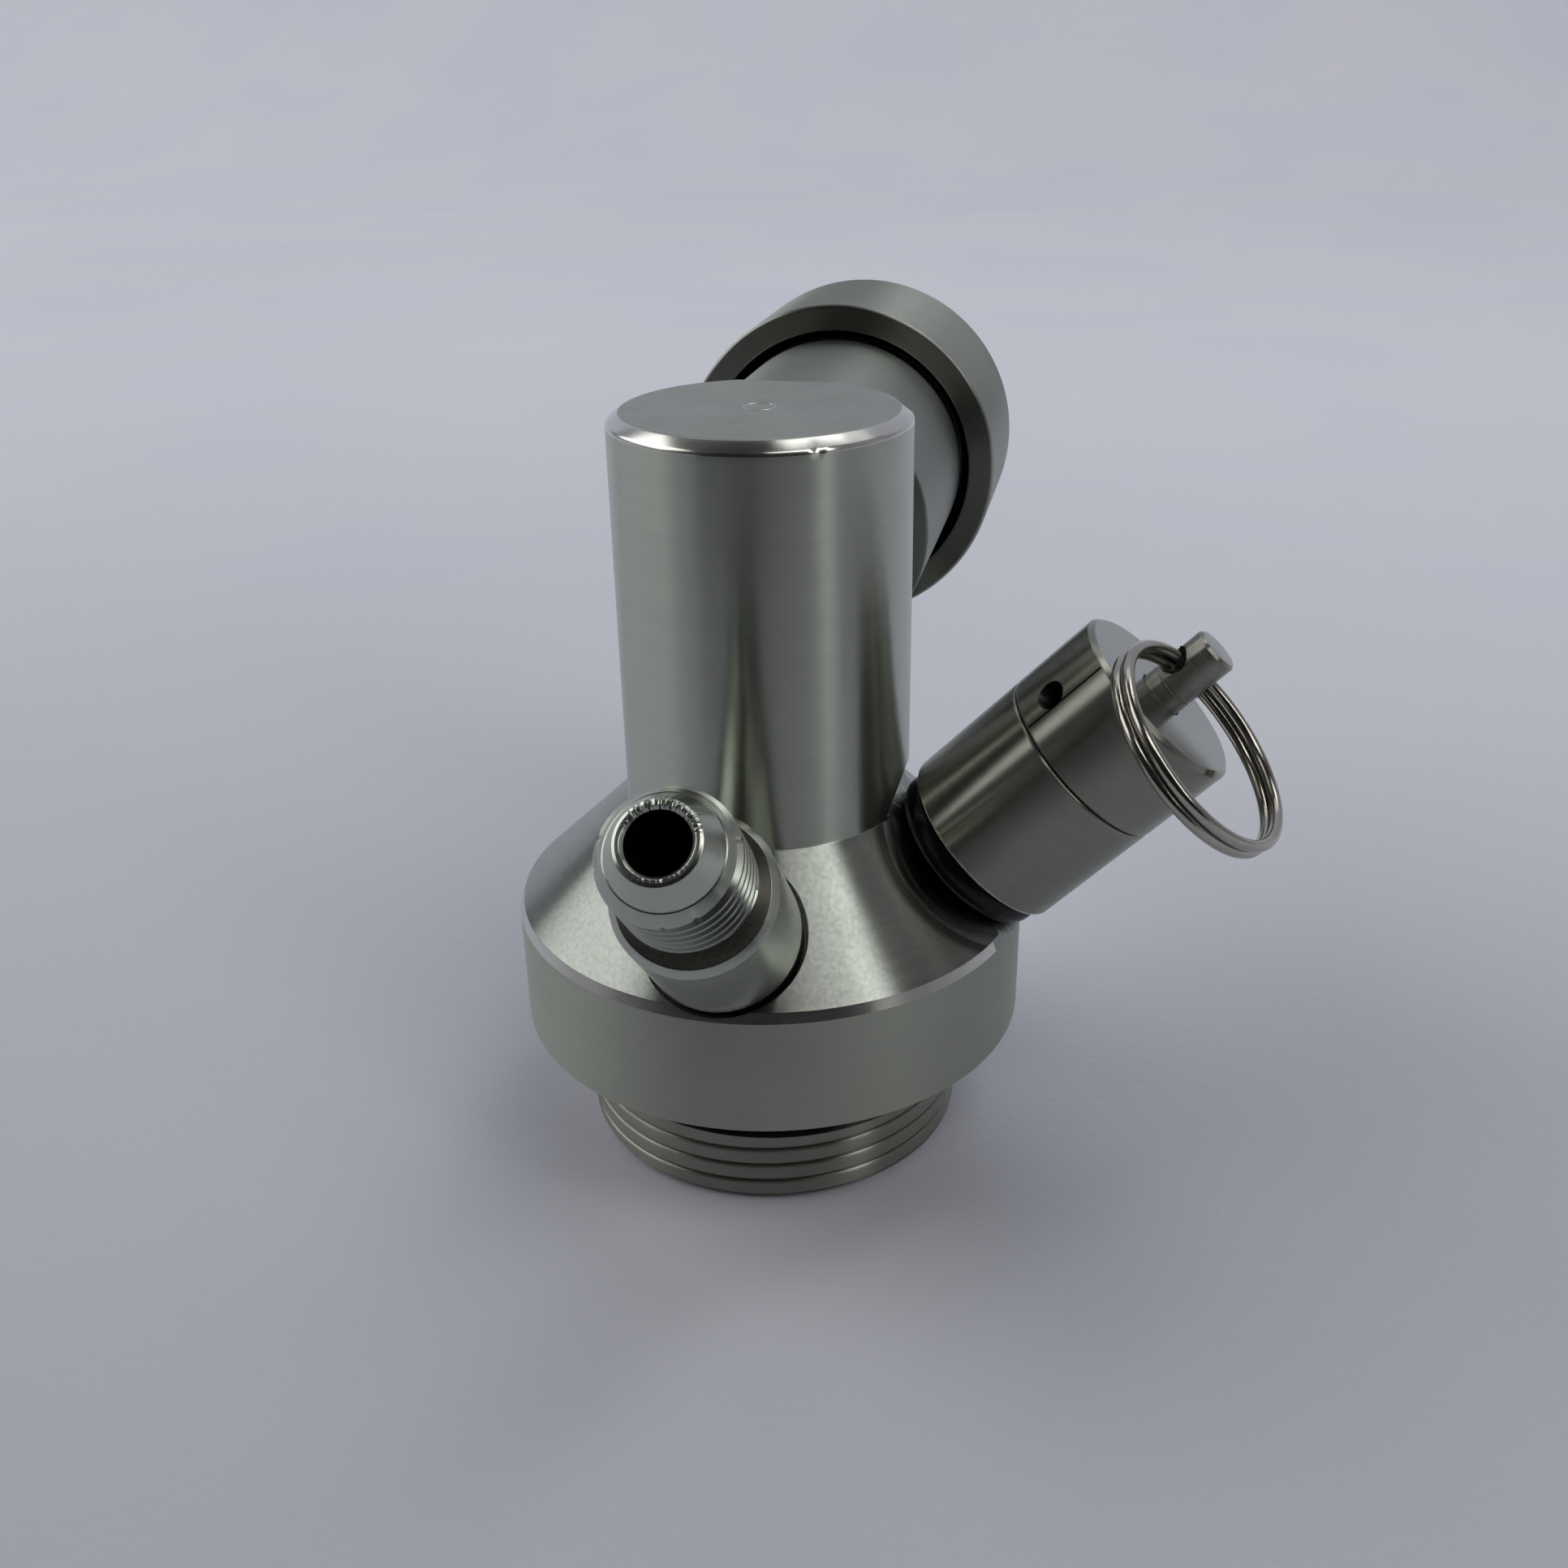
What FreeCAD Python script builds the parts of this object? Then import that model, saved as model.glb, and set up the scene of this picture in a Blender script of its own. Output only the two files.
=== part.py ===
import FreeCAD, Part
import math
import os

import Sketcher

# Mini keg tap: a turned head that screws into a keg's neck, with a flared outlet at the front (-Y),
# a relief valve with a pull ring at the right (+X) and a pressure regulator with a hand knob at the
# back (+Y). +Z is up, and the origin is on the head's axis at the bottom of the keg thread.
# Lengths are in millimetres.

doc = FreeCAD.newDocument("mini_keg_tap")
sheet = doc.addObject("Spreadsheet::Sheet", "Sizes")


class Size:
    """A number together with the sheet formula that gives it."""

    def __init__(self, number, formula):
        self.number = number
        self.formula = formula

    def __add__(self, other):
        return Size(self.number + number(other), "(" + self.formula + " + " + formula(other) + ")")

    def __sub__(self, other):
        return Size(self.number - number(other), "(" + self.formula + " - " + formula(other) + ")")

    def __rsub__(self, other):
        return Size(number(other) - self.number, "(" + formula(other) + " - " + self.formula + ")")

    def __mul__(self, other):
        return Size(self.number * number(other), "(" + self.formula + " * " + formula(other) + ")")

    def __truediv__(self, other):
        return Size(self.number / number(other), "(" + self.formula + " / " + formula(other) + ")")

    __radd__ = __add__
    __rmul__ = __mul__


def number(value):
    return value.number if isinstance(value, Size) else value


def formula(value):
    return value.formula if isinstance(value, Size) else repr(value)


def size(alias, value, note):
    """Writes one driving dimension into the sheet and returns it."""
    row = str(len(sheet.getUsedCells()) // 3 + 1)
    sheet.set("A" + row, alias)
    sheet.set("B" + row, str(value))
    sheet.setAlias("B" + row, alias)
    sheet.set("C" + row, note)
    return Size(float(value), "Sizes." + alias)


# Head

neck_thread_diameter = size("neck_thread_diameter", 36, "male thread that screws into the keg's neck")
neck_thread_length = size("neck_thread_length", 7.1, "height of the male thread")
neck_lead_in = size("neck_lead_in", 0.8, "chamfer at the foot of the male thread")
collar_underside = size("collar_underside", 12.2, "height of the collar's sealing face")
collar_diameter = size("collar_diameter", 47.5, "collar, over the keg's neck")
collar_wall_height = size("collar_wall_height", 10.9, "straight side of the collar")
collar_edge_width = size("collar_edge_width", 0.4, "steep edge above the collar, across")
collar_edge_height = size("collar_edge_height", 0.9, "steep edge above the collar, up")
column_diameter = size("column_diameter", 26, "upright column")
cone_height = size("cone_height", 9.75, "rise of the cone from the collar to the column")
column_top = size("column_top", 68.8, "overall height of the head")
column_edge_width = size("column_edge_width", 1.2, "chamfer round the column's top, across")
column_edge_height = size("column_edge_height", 0.85, "chamfer round the column's top, down")
neck_ring_section = size("neck_ring_section", 5.0, "thickness of the neck's sealing ring")
neck_ring_bore = size("neck_ring_bore", 27.8, "seat of the neck's sealing ring")

# Dip tube socket, in the foot of the head

dip_socket_diameter = size("dip_socket_diameter", 8, "socket for the dip tube")
dip_socket_depth = size("dip_socket_depth", 11, "depth of the dip tube's socket")
dip_ring_section = size("dip_ring_section", 1.7, "thickness of the dip tube's sealing ring")
dip_ring_height = size("dip_ring_height", 6.5, "lower side of that ring's groove")
beer_bore_diameter = size("beer_bore_diameter", 5, "beer passage from the socket to the outlet")

# The outlet and the relief valve stand square on the cone and meet on the head's axis

branch_elevation = size("branch_elevation", 46, "slope of both branches above level, in degrees")
branch_height = size("branch_height", 9.35, "height where both branches cross the head's axis")

# Outlet fitting, along its own axis from that crossing

outlet_turn = size("outlet_turn", 0.6, "outlet's turn from the front towards the right, in degrees")
outlet_seat = size("outlet_seat", 25.2, "bottom of the recess round the outlet")
outlet_recess_diameter = size("outlet_recess_diameter", 15, "recess round the outlet")
outlet_shank_diameter = size("outlet_shank_diameter", 9.7, "thread that holds the outlet in the head")
outlet_shank_length = size("outlet_shank_length", 8, "length of that thread")
outlet_ring_section = size("outlet_ring_section", 1.9, "thickness of the outlet's sealing ring")
outlet_base_diameter = size("outlet_base_diameter", 13.7, "plain base of the outlet")
outlet_base_edge = size("outlet_base_edge", 0.6, "chamfer at the base's outer end")
outlet_base_length = size("outlet_base_length", 11.8, "length of that base")
flare_thread_diameter = size("flare_thread_diameter", 11.11, "7/16 inch thread for the hose nut")
flare_thread_length = size("flare_thread_length", 8.5, "length of that thread")
flare_undercut_length = size("flare_undercut_length", 1.1, "groove under that thread")
flare_undercut_depth = size("flare_undercut_depth", 0.85, "depth of that groove")
flare_cone_diameter = size("flare_cone_diameter", 9.0, "large end of the sealing cone")
flare_nose_diameter = size("flare_nose_diameter", 6.6, "small end of the sealing cone")
flare_cone_length = size("flare_cone_length", 2.2, "length of the sealing cone")
flare_bore_diameter = size("flare_bore_diameter", 5, "bore of the outlet")
flare_mouth_edge = size("flare_mouth_edge", 0.3, "chamfer at the bore's mouth")

# Relief valve, along its own axis from the crossing

relief_seat = size("relief_seat", 26.1, "bottom of the recess round the relief valve")
relief_recess_diameter = size("relief_recess_diameter", 20, "recess round the relief valve")
relief_shank_diameter = size("relief_shank_diameter", 10.3, "thread that holds the valve in the head")
relief_shank_length = size("relief_shank_length", 5.8, "length of that thread")
relief_ring_section = size("relief_ring_section", 3.0, "thickness of the valve's sealing ring")
relief_diameter = size("relief_diameter", 17.4, "valve housing")
relief_base_length = size("relief_base_length", 12, "lower half of the housing")
relief_cap_length = size("relief_cap_length", 8.9, "upper half of the housing")
relief_chamber_diameter = size("relief_chamber_diameter", 12, "chamber inside the lower half")
relief_floor = size("relief_floor", 2.9, "solid floor of the lower half")
relief_spigot_diameter = size("relief_spigot_diameter", 14, "thread between the two halves")
relief_spigot_length = size("relief_spigot_length", 2.1, "length of that thread")
relief_cap_wall = size("relief_cap_wall", 2.4, "top wall of the cap")
relief_cap_edge = size("relief_cap_edge", 0.5, "edge chamfer of the cap")
relief_passage_diameter = size("relief_passage_diameter", 4.4, "gas passage up to the seal")
seat_lip_height = size("seat_lip_height", 0.6, "raised lip that the seal closes on")
seat_lip_width = size("seat_lip_width", 1.0, "width of that lip")
relief_seal_diameter = size("relief_seal_diameter", 8, "rubber seal of the relief valve")
relief_seal_height = size("relief_seal_height", 1.6, "thickness of that seal")
plunger_diameter = size("plunger_diameter", 10, "plunger that carries the seal")
plunger_height = size("plunger_height", 1.8, "thickness of the plunger")
stem_diameter = size("stem_diameter", 4.2, "pull stem")
stem_reach = size("stem_reach", 6.2, "how far the stem stands out of the cap")
stem_edge = size("stem_edge", 0.5, "chamfer at the stem's end")
stem_hole_diameter = size("stem_hole_diameter", 2.7, "cross hole for the pull ring")
stem_hole_height = size("stem_hole_height", 3.05, "cross hole's height over the cap")
stem_hole_turn = size("stem_hole_turn", 108, "cross hole's turn about the stem, in degrees")
relief_wire = size("relief_wire", 0.8, "wire of the relief spring")
relief_coil_diameter = size("relief_coil_diameter", 7.6, "relief spring, at the middle of its wire")
relief_coils = size("relief_coils", 3.5, "turns of the relief spring")
vent_diameter = size("vent_diameter", 2.6, "vent hole in the cap's side")
vent_height = size("vent_height", 3.4, "vent hole's height over the joint between the halves")
vent_turn = size("vent_turn", 122, "vent hole's turn about the valve, in degrees")
headspace_bore_diameter = size("headspace_bore_diameter", 3, "passage from the keg to the relief valve")
headspace_bore_offset = size("headspace_bore_offset", 10.8, "that passage's distance from the head's axis")
pull_ring_diameter = size("pull_ring_diameter", 19.6, "split ring, outside")
pull_ring_wire = size("pull_ring_wire", 1.05, "thickness of one turn of the split ring")
pull_ring_lean = size("pull_ring_lean", 9.5, "how far the ring leans onto the cap, in degrees")

# Regulator, along its own axis from the head's axis

barrel_height = size("barrel_height", 55.3, "height of the regulator's axis")
barrel_diameter = size("barrel_diameter", 26, "regulator barrel")
flat_distance = size("flat_distance", 10.7, "milled flat on the column, from the head's axis")
flat_margin = size("flat_margin", 0.5, "how far the flat runs below the barrel")
barrel_length = size("barrel_length", 34.8, "barrel, from the flat to its open end")
barrel_edge = size("barrel_edge", 0.6, "chamfer at the barrel's open end")
spigot_diameter = size("spigot_diameter", 11, "spigot of the barrel in the column")
spigot_length = size("spigot_length", 7.5, "length of the spigot")
spigot_socket_spare = size("spigot_socket_spare", 0.3, "room past the spigot's end")
knob_thread_length = size("knob_thread_length", 8.5, "male thread at the barrel's open end")
knob_undercut_length = size("knob_undercut_length", 1.5, "groove behind that thread")
knob_undercut_depth = size("knob_undercut_depth", 0.8, "depth of that groove")
piston_bore_diameter = size("piston_bore_diameter", 19, "bore that the piston slides in")
piston_bore_floor = size("piston_bore_floor", 16.7, "floor of that bore, from the flat")
valve_bore_diameter = size("valve_bore_diameter", 7.4, "chamber of the inlet valve")
valve_bore_floor = size("valve_bore_floor", 3.3, "floor of that chamber, from the flat")
insert_diameter = size("insert_diameter", 12, "valve seat insert")
insert_length = size("insert_length", 4.8, "length of the seat insert")
insert_bore_diameter = size("insert_bore_diameter", 3.2, "throat of the seat insert")
insert_ring_section = size("insert_ring_section", 1.5, "thickness of the insert's sealing ring")
valve_head_diameter = size("valve_head_diameter", 5.8, "inlet valve's head")
valve_head_length = size("valve_head_length", 2.1, "length of that head")
valve_tail_diameter = size("valve_tail_diameter", 2.6, "inlet valve's tail")
valve_tail_length = size("valve_tail_length", 3.0, "length of that tail")
valve_wire = size("valve_wire", 0.5, "wire of the inlet valve's spring")
valve_coil_diameter = size("valve_coil_diameter", 4.3, "that spring, at the middle of its wire")
valve_coils = size("valve_coils", 3.5, "turns of that spring")
piston_length = size("piston_length", 4.6, "length of the piston's head")
piston_gap = size("piston_gap", 2.0, "low pressure space under the piston")
piston_stem_diameter = size("piston_stem_diameter", 1.8, "stem that opens the inlet valve")
piston_ring_section = size("piston_ring_section", 2.0, "thickness of the piston's sealing ring")
piston_boss_diameter = size("piston_boss_diameter", 8.6, "boss that centres the range spring")
piston_boss_length = size("piston_boss_length", 2.2, "length of that boss")
range_wire = size("range_wire", 1.6, "wire of the range spring")
range_coil_diameter = size("range_coil_diameter", 13.2, "range spring, at the middle of its wire")
range_coils = size("range_coils", 3.5, "turns of the range spring")
range_spring_length = size("range_spring_length", 12.6, "range spring with the knob backed off")
button_diameter = size("button_diameter", 17.2, "disc between the range spring and the knob")
button_thickness = size("button_thickness", 2.2, "thickness of that disc")
button_dome = size("button_dome", 1.0, "height of the button's centre that the knob turns on")
button_dome_diameter = size("button_dome_diameter", 6, "that centre's diameter")
knob_diameter = size("knob_diameter", 33.2, "hand knob")
knob_length = size("knob_length", 20, "length of the knob")
knob_mouth_diameter = size("knob_mouth_diameter", 28, "wide mouth of the knob, round the barrel")
knob_mouth_depth = size("knob_mouth_depth", 4.5, "depth of that mouth")
knob_front = size("knob_front", 23.3, "knob's mouth, from the flat, with the knob backed off")
knob_rim_round = size("knob_rim_round", 2.2, "rounding of the knob's far rim")
knob_front_edge = size("knob_front_edge", 0.4, "chamfer of the knob's near rim")
knob_dish_depth = size("knob_dish_depth", 0.8, "shallow dish in the knob's far face")
knob_dish_diameter = size("knob_dish_diameter", 20, "diameter of that dish")

# Gas passages and cartridge port

gas_bore_diameter = size("gas_bore_diameter", 2.6, "gas passage down the head")
gas_bore_offset = size("gas_bore_offset", 8.2, "that passage's distance from the head's axis")
link_bore_diameter = size("link_bore_diameter", 2.2, "passage from the regulator to the head")
link_bore_drop = size("link_bore_drop", 7.8, "that passage's distance below the regulator's axis")
check_pocket_diameter = size("check_pocket_diameter", 5, "pocket for the gas check valve")
check_pocket_depth = size("check_pocket_depth", 5, "depth of that pocket")
check_body_diameter = size("check_body_diameter", 3.2, "duckbill of the check valve")
check_flange_height = size("check_flange_height", 1, "flange of the check valve")
check_tip_height = size("check_tip_height", 0.5, "the duckbill's tip stops this far inside the foot")
port_distance = size("port_distance", 7.3, "cartridge port's axis, from the flat")
port_diameter = size("port_diameter", 9.53, "3/8 inch thread for the gas cartridge")
port_depth = size("port_depth", 5.2, "depth of that thread")
port_face_diameter = size("port_face_diameter", 12.4, "flat face round the port")
port_face_drop = size("port_face_drop", 1.4, "that face lies this far inside the barrel's side")
pin_head_diameter = size("pin_head_diameter", 5.8, "head of the piercing pin")
pin_head_length = size("pin_head_length", 1.5, "length of that head")
pin_needle_diameter = size("pin_needle_diameter", 1.8, "needle of the piercing pin")
pin_needle_length = size("pin_needle_length", 2.8, "length of that needle")
pin_bore_diameter = size("pin_bore_diameter", 0.8, "gas hole through the pin")
port_seal_height = size("port_seal_height", 1.2, "thickness of the cartridge's seal")
port_seal_bore = size("port_seal_bore", 4.4, "hole in that seal")

# Clearances

fixed_gap = size("fixed_gap", 0.02, "radial room of pieces that are screwed or pressed together")
sliding_gap = size("sliding_gap", 0.06, "radial room of pieces that slide or turn")

origin = FreeCAD.Vector(0, 0, 0)
pieces = []


def keep(thing, label):
    """Names a finished piece and lists it for export."""
    thing.Label = label
    pieces.append(thing)
    return thing


def origin_plane(body, role):
    return [feature for feature in body.Origin.OriginFeatures if feature.Role == role][0]


def bind(sketch, kind, corner, value):
    """Holds one coordinate of a sketch corner at a size from the sheet."""
    index = sketch.addConstraint(Sketcher.Constraint(kind, -1, 1, corner, 1, number(value)))
    if isinstance(value, Size):
        sketch.setExpression("Constraints[" + str(index) + "]", value.formula)


def outline_sketch(body, label, plane, corners):
    """A closed outline of straight lines whose corners are held by sizes from the sheet."""
    sketch = body.newObject("Sketcher::SketchObject", label)
    sketch.AttachmentSupport = [(origin_plane(body, plane), "")]
    sketch.MapMode = "FlatFace"
    places = [FreeCAD.Vector(number(across), number(up), 0) for across, up in corners]
    count = len(places)
    for index in range(count):
        sketch.addGeometry(Part.LineSegment(places[index], places[(index + 1) % count]), False)
    for index in range(count):
        sketch.addConstraint(Sketcher.Constraint("Coincident", index, 2, (index + 1) % count, 1))
    for index, (across, up) in enumerate(corners):
        if number(across) == 0:
            sketch.addConstraint(Sketcher.Constraint("PointOnObject", index, 1, -2))
        else:
            bind(sketch, "DistanceX", index, across)
        if number(up) == 0:
            sketch.addConstraint(Sketcher.Constraint("PointOnObject", index, 1, -1))
        else:
            bind(sketch, "DistanceY", index, up)
    return sketch


def turned(label, corners):
    """A lathe-turned piece: corners are (radius, height) pairs round its half section."""
    body = doc.addObject("PartDesign::Body", label)
    sketch = outline_sketch(body, label + "_section", "XZ_Plane", corners)
    turn = body.newObject("PartDesign::Revolution", label + "_turn")
    turn.Profile = sketch
    turn.ReferenceAxis = (sketch, ["V_Axis"])
    turn.Angle = 360
    sketch.Visibility = False
    doc.recompute()
    return body


def cylinder(label, diameter, length, place):
    tool = doc.addObject("Part::Cylinder", label)
    tool.setExpression("Radius", (diameter / 2).formula)
    tool.setExpression("Height", formula(length))
    tool.Placement = place
    return tool


def cut(label, base, tools):
    """The base with every tool taken away."""
    joined = doc.addObject("Part::MultiFuse", label + "_tools")
    joined.Shapes = tools
    result = doc.addObject("Part::Cut", label)
    result.Base = base
    result.Tool = joined if len(tools) > 1 else tools[0]
    if len(tools) == 1:
        doc.removeObject(joined.Name)
    return result


def aimed(azimuth, elevation, height):
    """A frame on the head's axis whose Z runs out along a branch and whose X lies level.

    Azimuth 0 is the front (-Y) and 90 is the right (+X).
    """
    turn = math.radians(number(azimuth))
    rise = math.radians(number(elevation))
    out = FreeCAD.Vector(math.sin(turn) * math.cos(rise), -math.cos(turn) * math.cos(rise), math.sin(rise))
    level = FreeCAD.Vector(math.cos(turn), math.sin(turn), 0)
    place = FreeCAD.Placement()
    place.Rotation = FreeCAD.Rotation(level, out.cross(level), out, "ZXY")
    place.Base = FreeCAD.Vector(0, 0, number(height))
    return place


def shifted(place, across=0, up=0, along=0):
    """The same frame moved along its own axes."""
    move = FreeCAD.Placement(FreeCAD.Vector(number(across), number(up), number(along)), FreeCAD.Rotation())
    return place.multiply(move)


def turned_about(place, degrees):
    """The same frame turned about its own Z axis."""
    return place.multiply(FreeCAD.Placement(origin, FreeCAD.Rotation(FreeCAD.Vector(0, 0, 1), number(degrees))))


def laid_along_x(place):
    """The same frame with its Z axis swung onto its X axis."""
    return place.multiply(FreeCAD.Placement(origin, FreeCAD.Rotation(FreeCAD.Vector(0, 1, 0), 90)))


def seal_ring(label, bore, section, centre_height, place, sides=8):
    """A sealing ring round a seat of the given diameter: eight-sided for a round section, or square."""
    middle = (bore + section) / 2
    reach = section / 2
    flat = reach if sides == 4 else reach * math.tan(math.radians(22.5))
    corners = [
        (middle - reach, centre_height + flat),
        (middle - reach, centre_height - flat),
        (middle - flat, centre_height - reach),
        (middle + flat, centre_height - reach),
        (middle + reach, centre_height - flat),
        (middle + reach, centre_height + flat),
        (middle + flat, centre_height + reach),
        (middle - flat, centre_height + reach)]
    ring = turned(label, corners if sides == 8 else corners[1::2])
    ring.Placement = place
    return keep(ring, label)


def spring(label, coil_diameter, wire, coils, length, place):
    """A coil spring of square wire between two flat seats."""
    reach = length - wire
    spine = doc.addObject("Part::Helix", label + "_path")
    spine.setExpression("Radius", (coil_diameter / 2).formula)
    spine.setExpression("Pitch", (reach / coils).formula)
    spine.setExpression("Height", reach.formula)
    section = doc.addObject("Part::RegularPolygon", label + "_wire")
    section.Polygon = 4
    section.setExpression("Circumradius", (wire / 2).formula)
    section.Placement = FreeCAD.Placement(
        FreeCAD.Vector(number(coil_diameter) / 2, 0, 0), FreeCAD.Rotation(FreeCAD.Vector(1, 0, 0), 90))
    sweep = doc.addObject("Part::Sweep", label)
    sweep.Sections = [section]
    sweep.Spine = (spine, ["Edge1"])
    sweep.Solid = True
    sweep.Frenet = True
    sweep.Placement = shifted(place, along=wire / 2)
    return keep(sweep, label)


upright = FreeCAD.Placement()
outlet_axis = aimed(outlet_turn, branch_elevation, branch_height)
relief_axis = aimed(90, branch_elevation, branch_height)
barrel_axis = aimed(180, 0, barrel_height)

# Head: one turned body with its bores, recesses and the milled flat

thread_radius = neck_thread_diameter / 2
collar_radius = collar_diameter / 2
column_radius = column_diameter / 2
collar_top = collar_underside + collar_wall_height
cone_foot = collar_top + collar_edge_height
cone_top = cone_foot + cone_height
dip_radius = dip_socket_diameter / 2
dip_groove_radius = dip_radius + dip_ring_section + fixed_gap
dip_groove_top = dip_ring_height + dip_ring_section + 2 * fixed_gap
neck_seat_radius = neck_ring_bore / 2 - fixed_gap

head_turned = turned("head_turned", [
    (dip_radius, 0),
    (thread_radius - neck_lead_in, 0),
    (thread_radius, neck_lead_in),
    (thread_radius, neck_thread_length),
    (neck_seat_radius, neck_thread_length),
    (neck_seat_radius, collar_underside),
    (collar_radius, collar_underside),
    (collar_radius, collar_top),
    (collar_radius - collar_edge_width, cone_foot),
    (column_radius, cone_top),
    (column_radius, column_top - column_edge_height),
    (column_radius - column_edge_width, column_top),
    (0, column_top),
    (0, dip_socket_depth + beer_bore_diameter),
    (beer_bore_diameter / 2, dip_socket_depth + beer_bore_diameter),
    (beer_bore_diameter / 2, dip_socket_depth),
    (dip_radius, dip_socket_depth),
    (dip_radius, dip_groove_top),
    (dip_groove_radius, dip_groove_top),
    (dip_groove_radius, dip_ring_height),
    (dip_radius, dip_ring_height)])

flat_foot = barrel_height - barrel_diameter / 2 - flat_margin
flat_cutter = doc.addObject("Part::Box", "flat_cutter")
flat_cutter.setExpression("Length", column_diameter.formula)
flat_cutter.setExpression("Width", column_radius.formula)
flat_cutter.setExpression("Height", (column_top - flat_foot + 1).formula)
flat_cutter.Placement.Base = FreeCAD.Vector(-number(column_radius), number(flat_distance), number(flat_foot))

clear_of_cone = collar_diameter / 2
outlet_recess = cylinder(
    "outlet_recess", outlet_recess_diameter, clear_of_cone, shifted(outlet_axis, along=outlet_seat))
outlet_socket = cylinder(
    "outlet_socket", outlet_shank_diameter + 2 * fixed_gap, outlet_shank_length + 1,
    shifted(outlet_axis, along=outlet_seat - outlet_shank_length))
outlet_passage = cylinder("outlet_passage", beer_bore_diameter, outlet_seat, outlet_axis)
relief_recess = cylinder(
    "relief_recess", relief_recess_diameter, clear_of_cone, shifted(relief_axis, along=relief_seat))
relief_socket = cylinder(
    "relief_socket", relief_shank_diameter + 2 * fixed_gap, relief_shank_length + 1,
    shifted(relief_axis, along=relief_seat - relief_shank_length))
branch_cosine = math.cos(math.radians(number(branch_elevation)))
branch_slope = math.tan(math.radians(number(branch_elevation)))
headspace_meeting = number(headspace_bore_offset) / branch_cosine
relief_passage = cylinder(
    "relief_passage", relief_passage_diameter, relief_seat - headspace_meeting,
    shifted(relief_axis, along=headspace_meeting))
headspace_bore = cylinder(
    "headspace_bore", headspace_bore_diameter, branch_height + headspace_bore_offset * branch_slope,
    shifted(upright, across=headspace_bore_offset))
spigot_socket = cylinder(
    "spigot_socket", spigot_diameter + 2 * fixed_gap, spigot_length + spigot_socket_spare + 1,
    shifted(barrel_axis, along=flat_distance - spigot_length - spigot_socket_spare))
link_height = barrel_height - link_bore_drop
gas_bore = cylinder(
    "gas_bore", gas_bore_diameter, link_height + gas_bore_diameter / 2, shifted(upright, up=gas_bore_offset))
link_bore = cylinder(
    "link_bore", link_bore_diameter, flat_distance - gas_bore_offset + 1,
    shifted(aimed(180, 0, link_height), along=gas_bore_offset))
check_pocket = cylinder(
    "check_pocket", check_pocket_diameter, check_pocket_depth, shifted(upright, up=gas_bore_offset))

keep(cut("head_body", head_turned, [
    flat_cutter, outlet_recess, outlet_socket, outlet_passage, relief_recess, relief_socket,
    relief_passage, headspace_bore, spigot_socket, gas_bore, link_bore, check_pocket]), "head_body")

seal_ring(
    "neck_seal_ring", neck_ring_bore, neck_ring_section, collar_underside - neck_ring_section / 2, upright)
seal_ring(
    "dip_tube_seal", dip_socket_diameter, dip_ring_section,
    dip_ring_height + dip_ring_section / 2 + fixed_gap, upright, 4)

# Gas check valve: a rubber duckbill that keeps beer out of the gas passage

check_top = check_pocket_depth
check_valve = turned("gas_check_valve", [
    (0, check_tip_height),
    (check_body_diameter / 6, check_tip_height),
    (check_body_diameter / 2, check_top - 2.5 * check_flange_height),
    (check_body_diameter / 2, check_top - check_flange_height),
    (check_pocket_diameter / 2 - fixed_gap, check_top - check_flange_height),
    (check_pocket_diameter / 2 - fixed_gap, check_top),
    (0, check_top)])
check_valve.Placement = shifted(upright, up=gas_bore_offset)
keep(check_valve, "gas_check_valve")

# Outlet fitting: a plain base with the flared hose thread on top

outlet_foot = outlet_seat - outlet_shank_length
outlet_base = outlet_seat + outlet_ring_section
outlet_shoulder = outlet_base + outlet_base_length
flare_thread_start = outlet_shoulder + flare_undercut_length
flare_thread_end = flare_thread_start + flare_thread_length
flare_thread_radius = flare_thread_diameter / 2
flare_lead_in = flare_thread_radius - flare_cone_diameter / 2
outlet_fitting = turned("outlet_fitting", [
    (flare_bore_diameter / 2, outlet_foot + fixed_gap),
    (outlet_shank_diameter / 2, outlet_foot + fixed_gap),
    (outlet_shank_diameter / 2, outlet_base),
    (outlet_base_diameter / 2, outlet_base),
    (outlet_base_diameter / 2, outlet_shoulder - outlet_base_edge),
    (outlet_base_diameter / 2 - outlet_base_edge, outlet_shoulder),
    (flare_thread_radius - flare_undercut_depth, outlet_shoulder),
    (flare_thread_radius - flare_undercut_depth, flare_thread_start),
    (flare_thread_radius, flare_thread_start + flare_undercut_depth / 2),
    (flare_thread_radius, flare_thread_end - flare_lead_in / 2),
    (flare_cone_diameter / 2, flare_thread_end),
    (flare_nose_diameter / 2, flare_thread_end + flare_cone_length),
    (flare_bore_diameter / 2 + flare_mouth_edge, flare_thread_end + flare_cone_length),
    (flare_bore_diameter / 2, flare_thread_end + flare_cone_length - flare_mouth_edge)])
outlet_fitting.Placement = outlet_axis
keep(outlet_fitting, "outlet_fitting")
seal_ring(
    "outlet_seal_ring", outlet_shank_diameter + fixed_gap, outlet_ring_section,
    outlet_seat + outlet_ring_section / 2, outlet_axis)

# Relief valve: two housing halves, a sprung stem with a rubber seal, and a split ring to pull it

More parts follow.
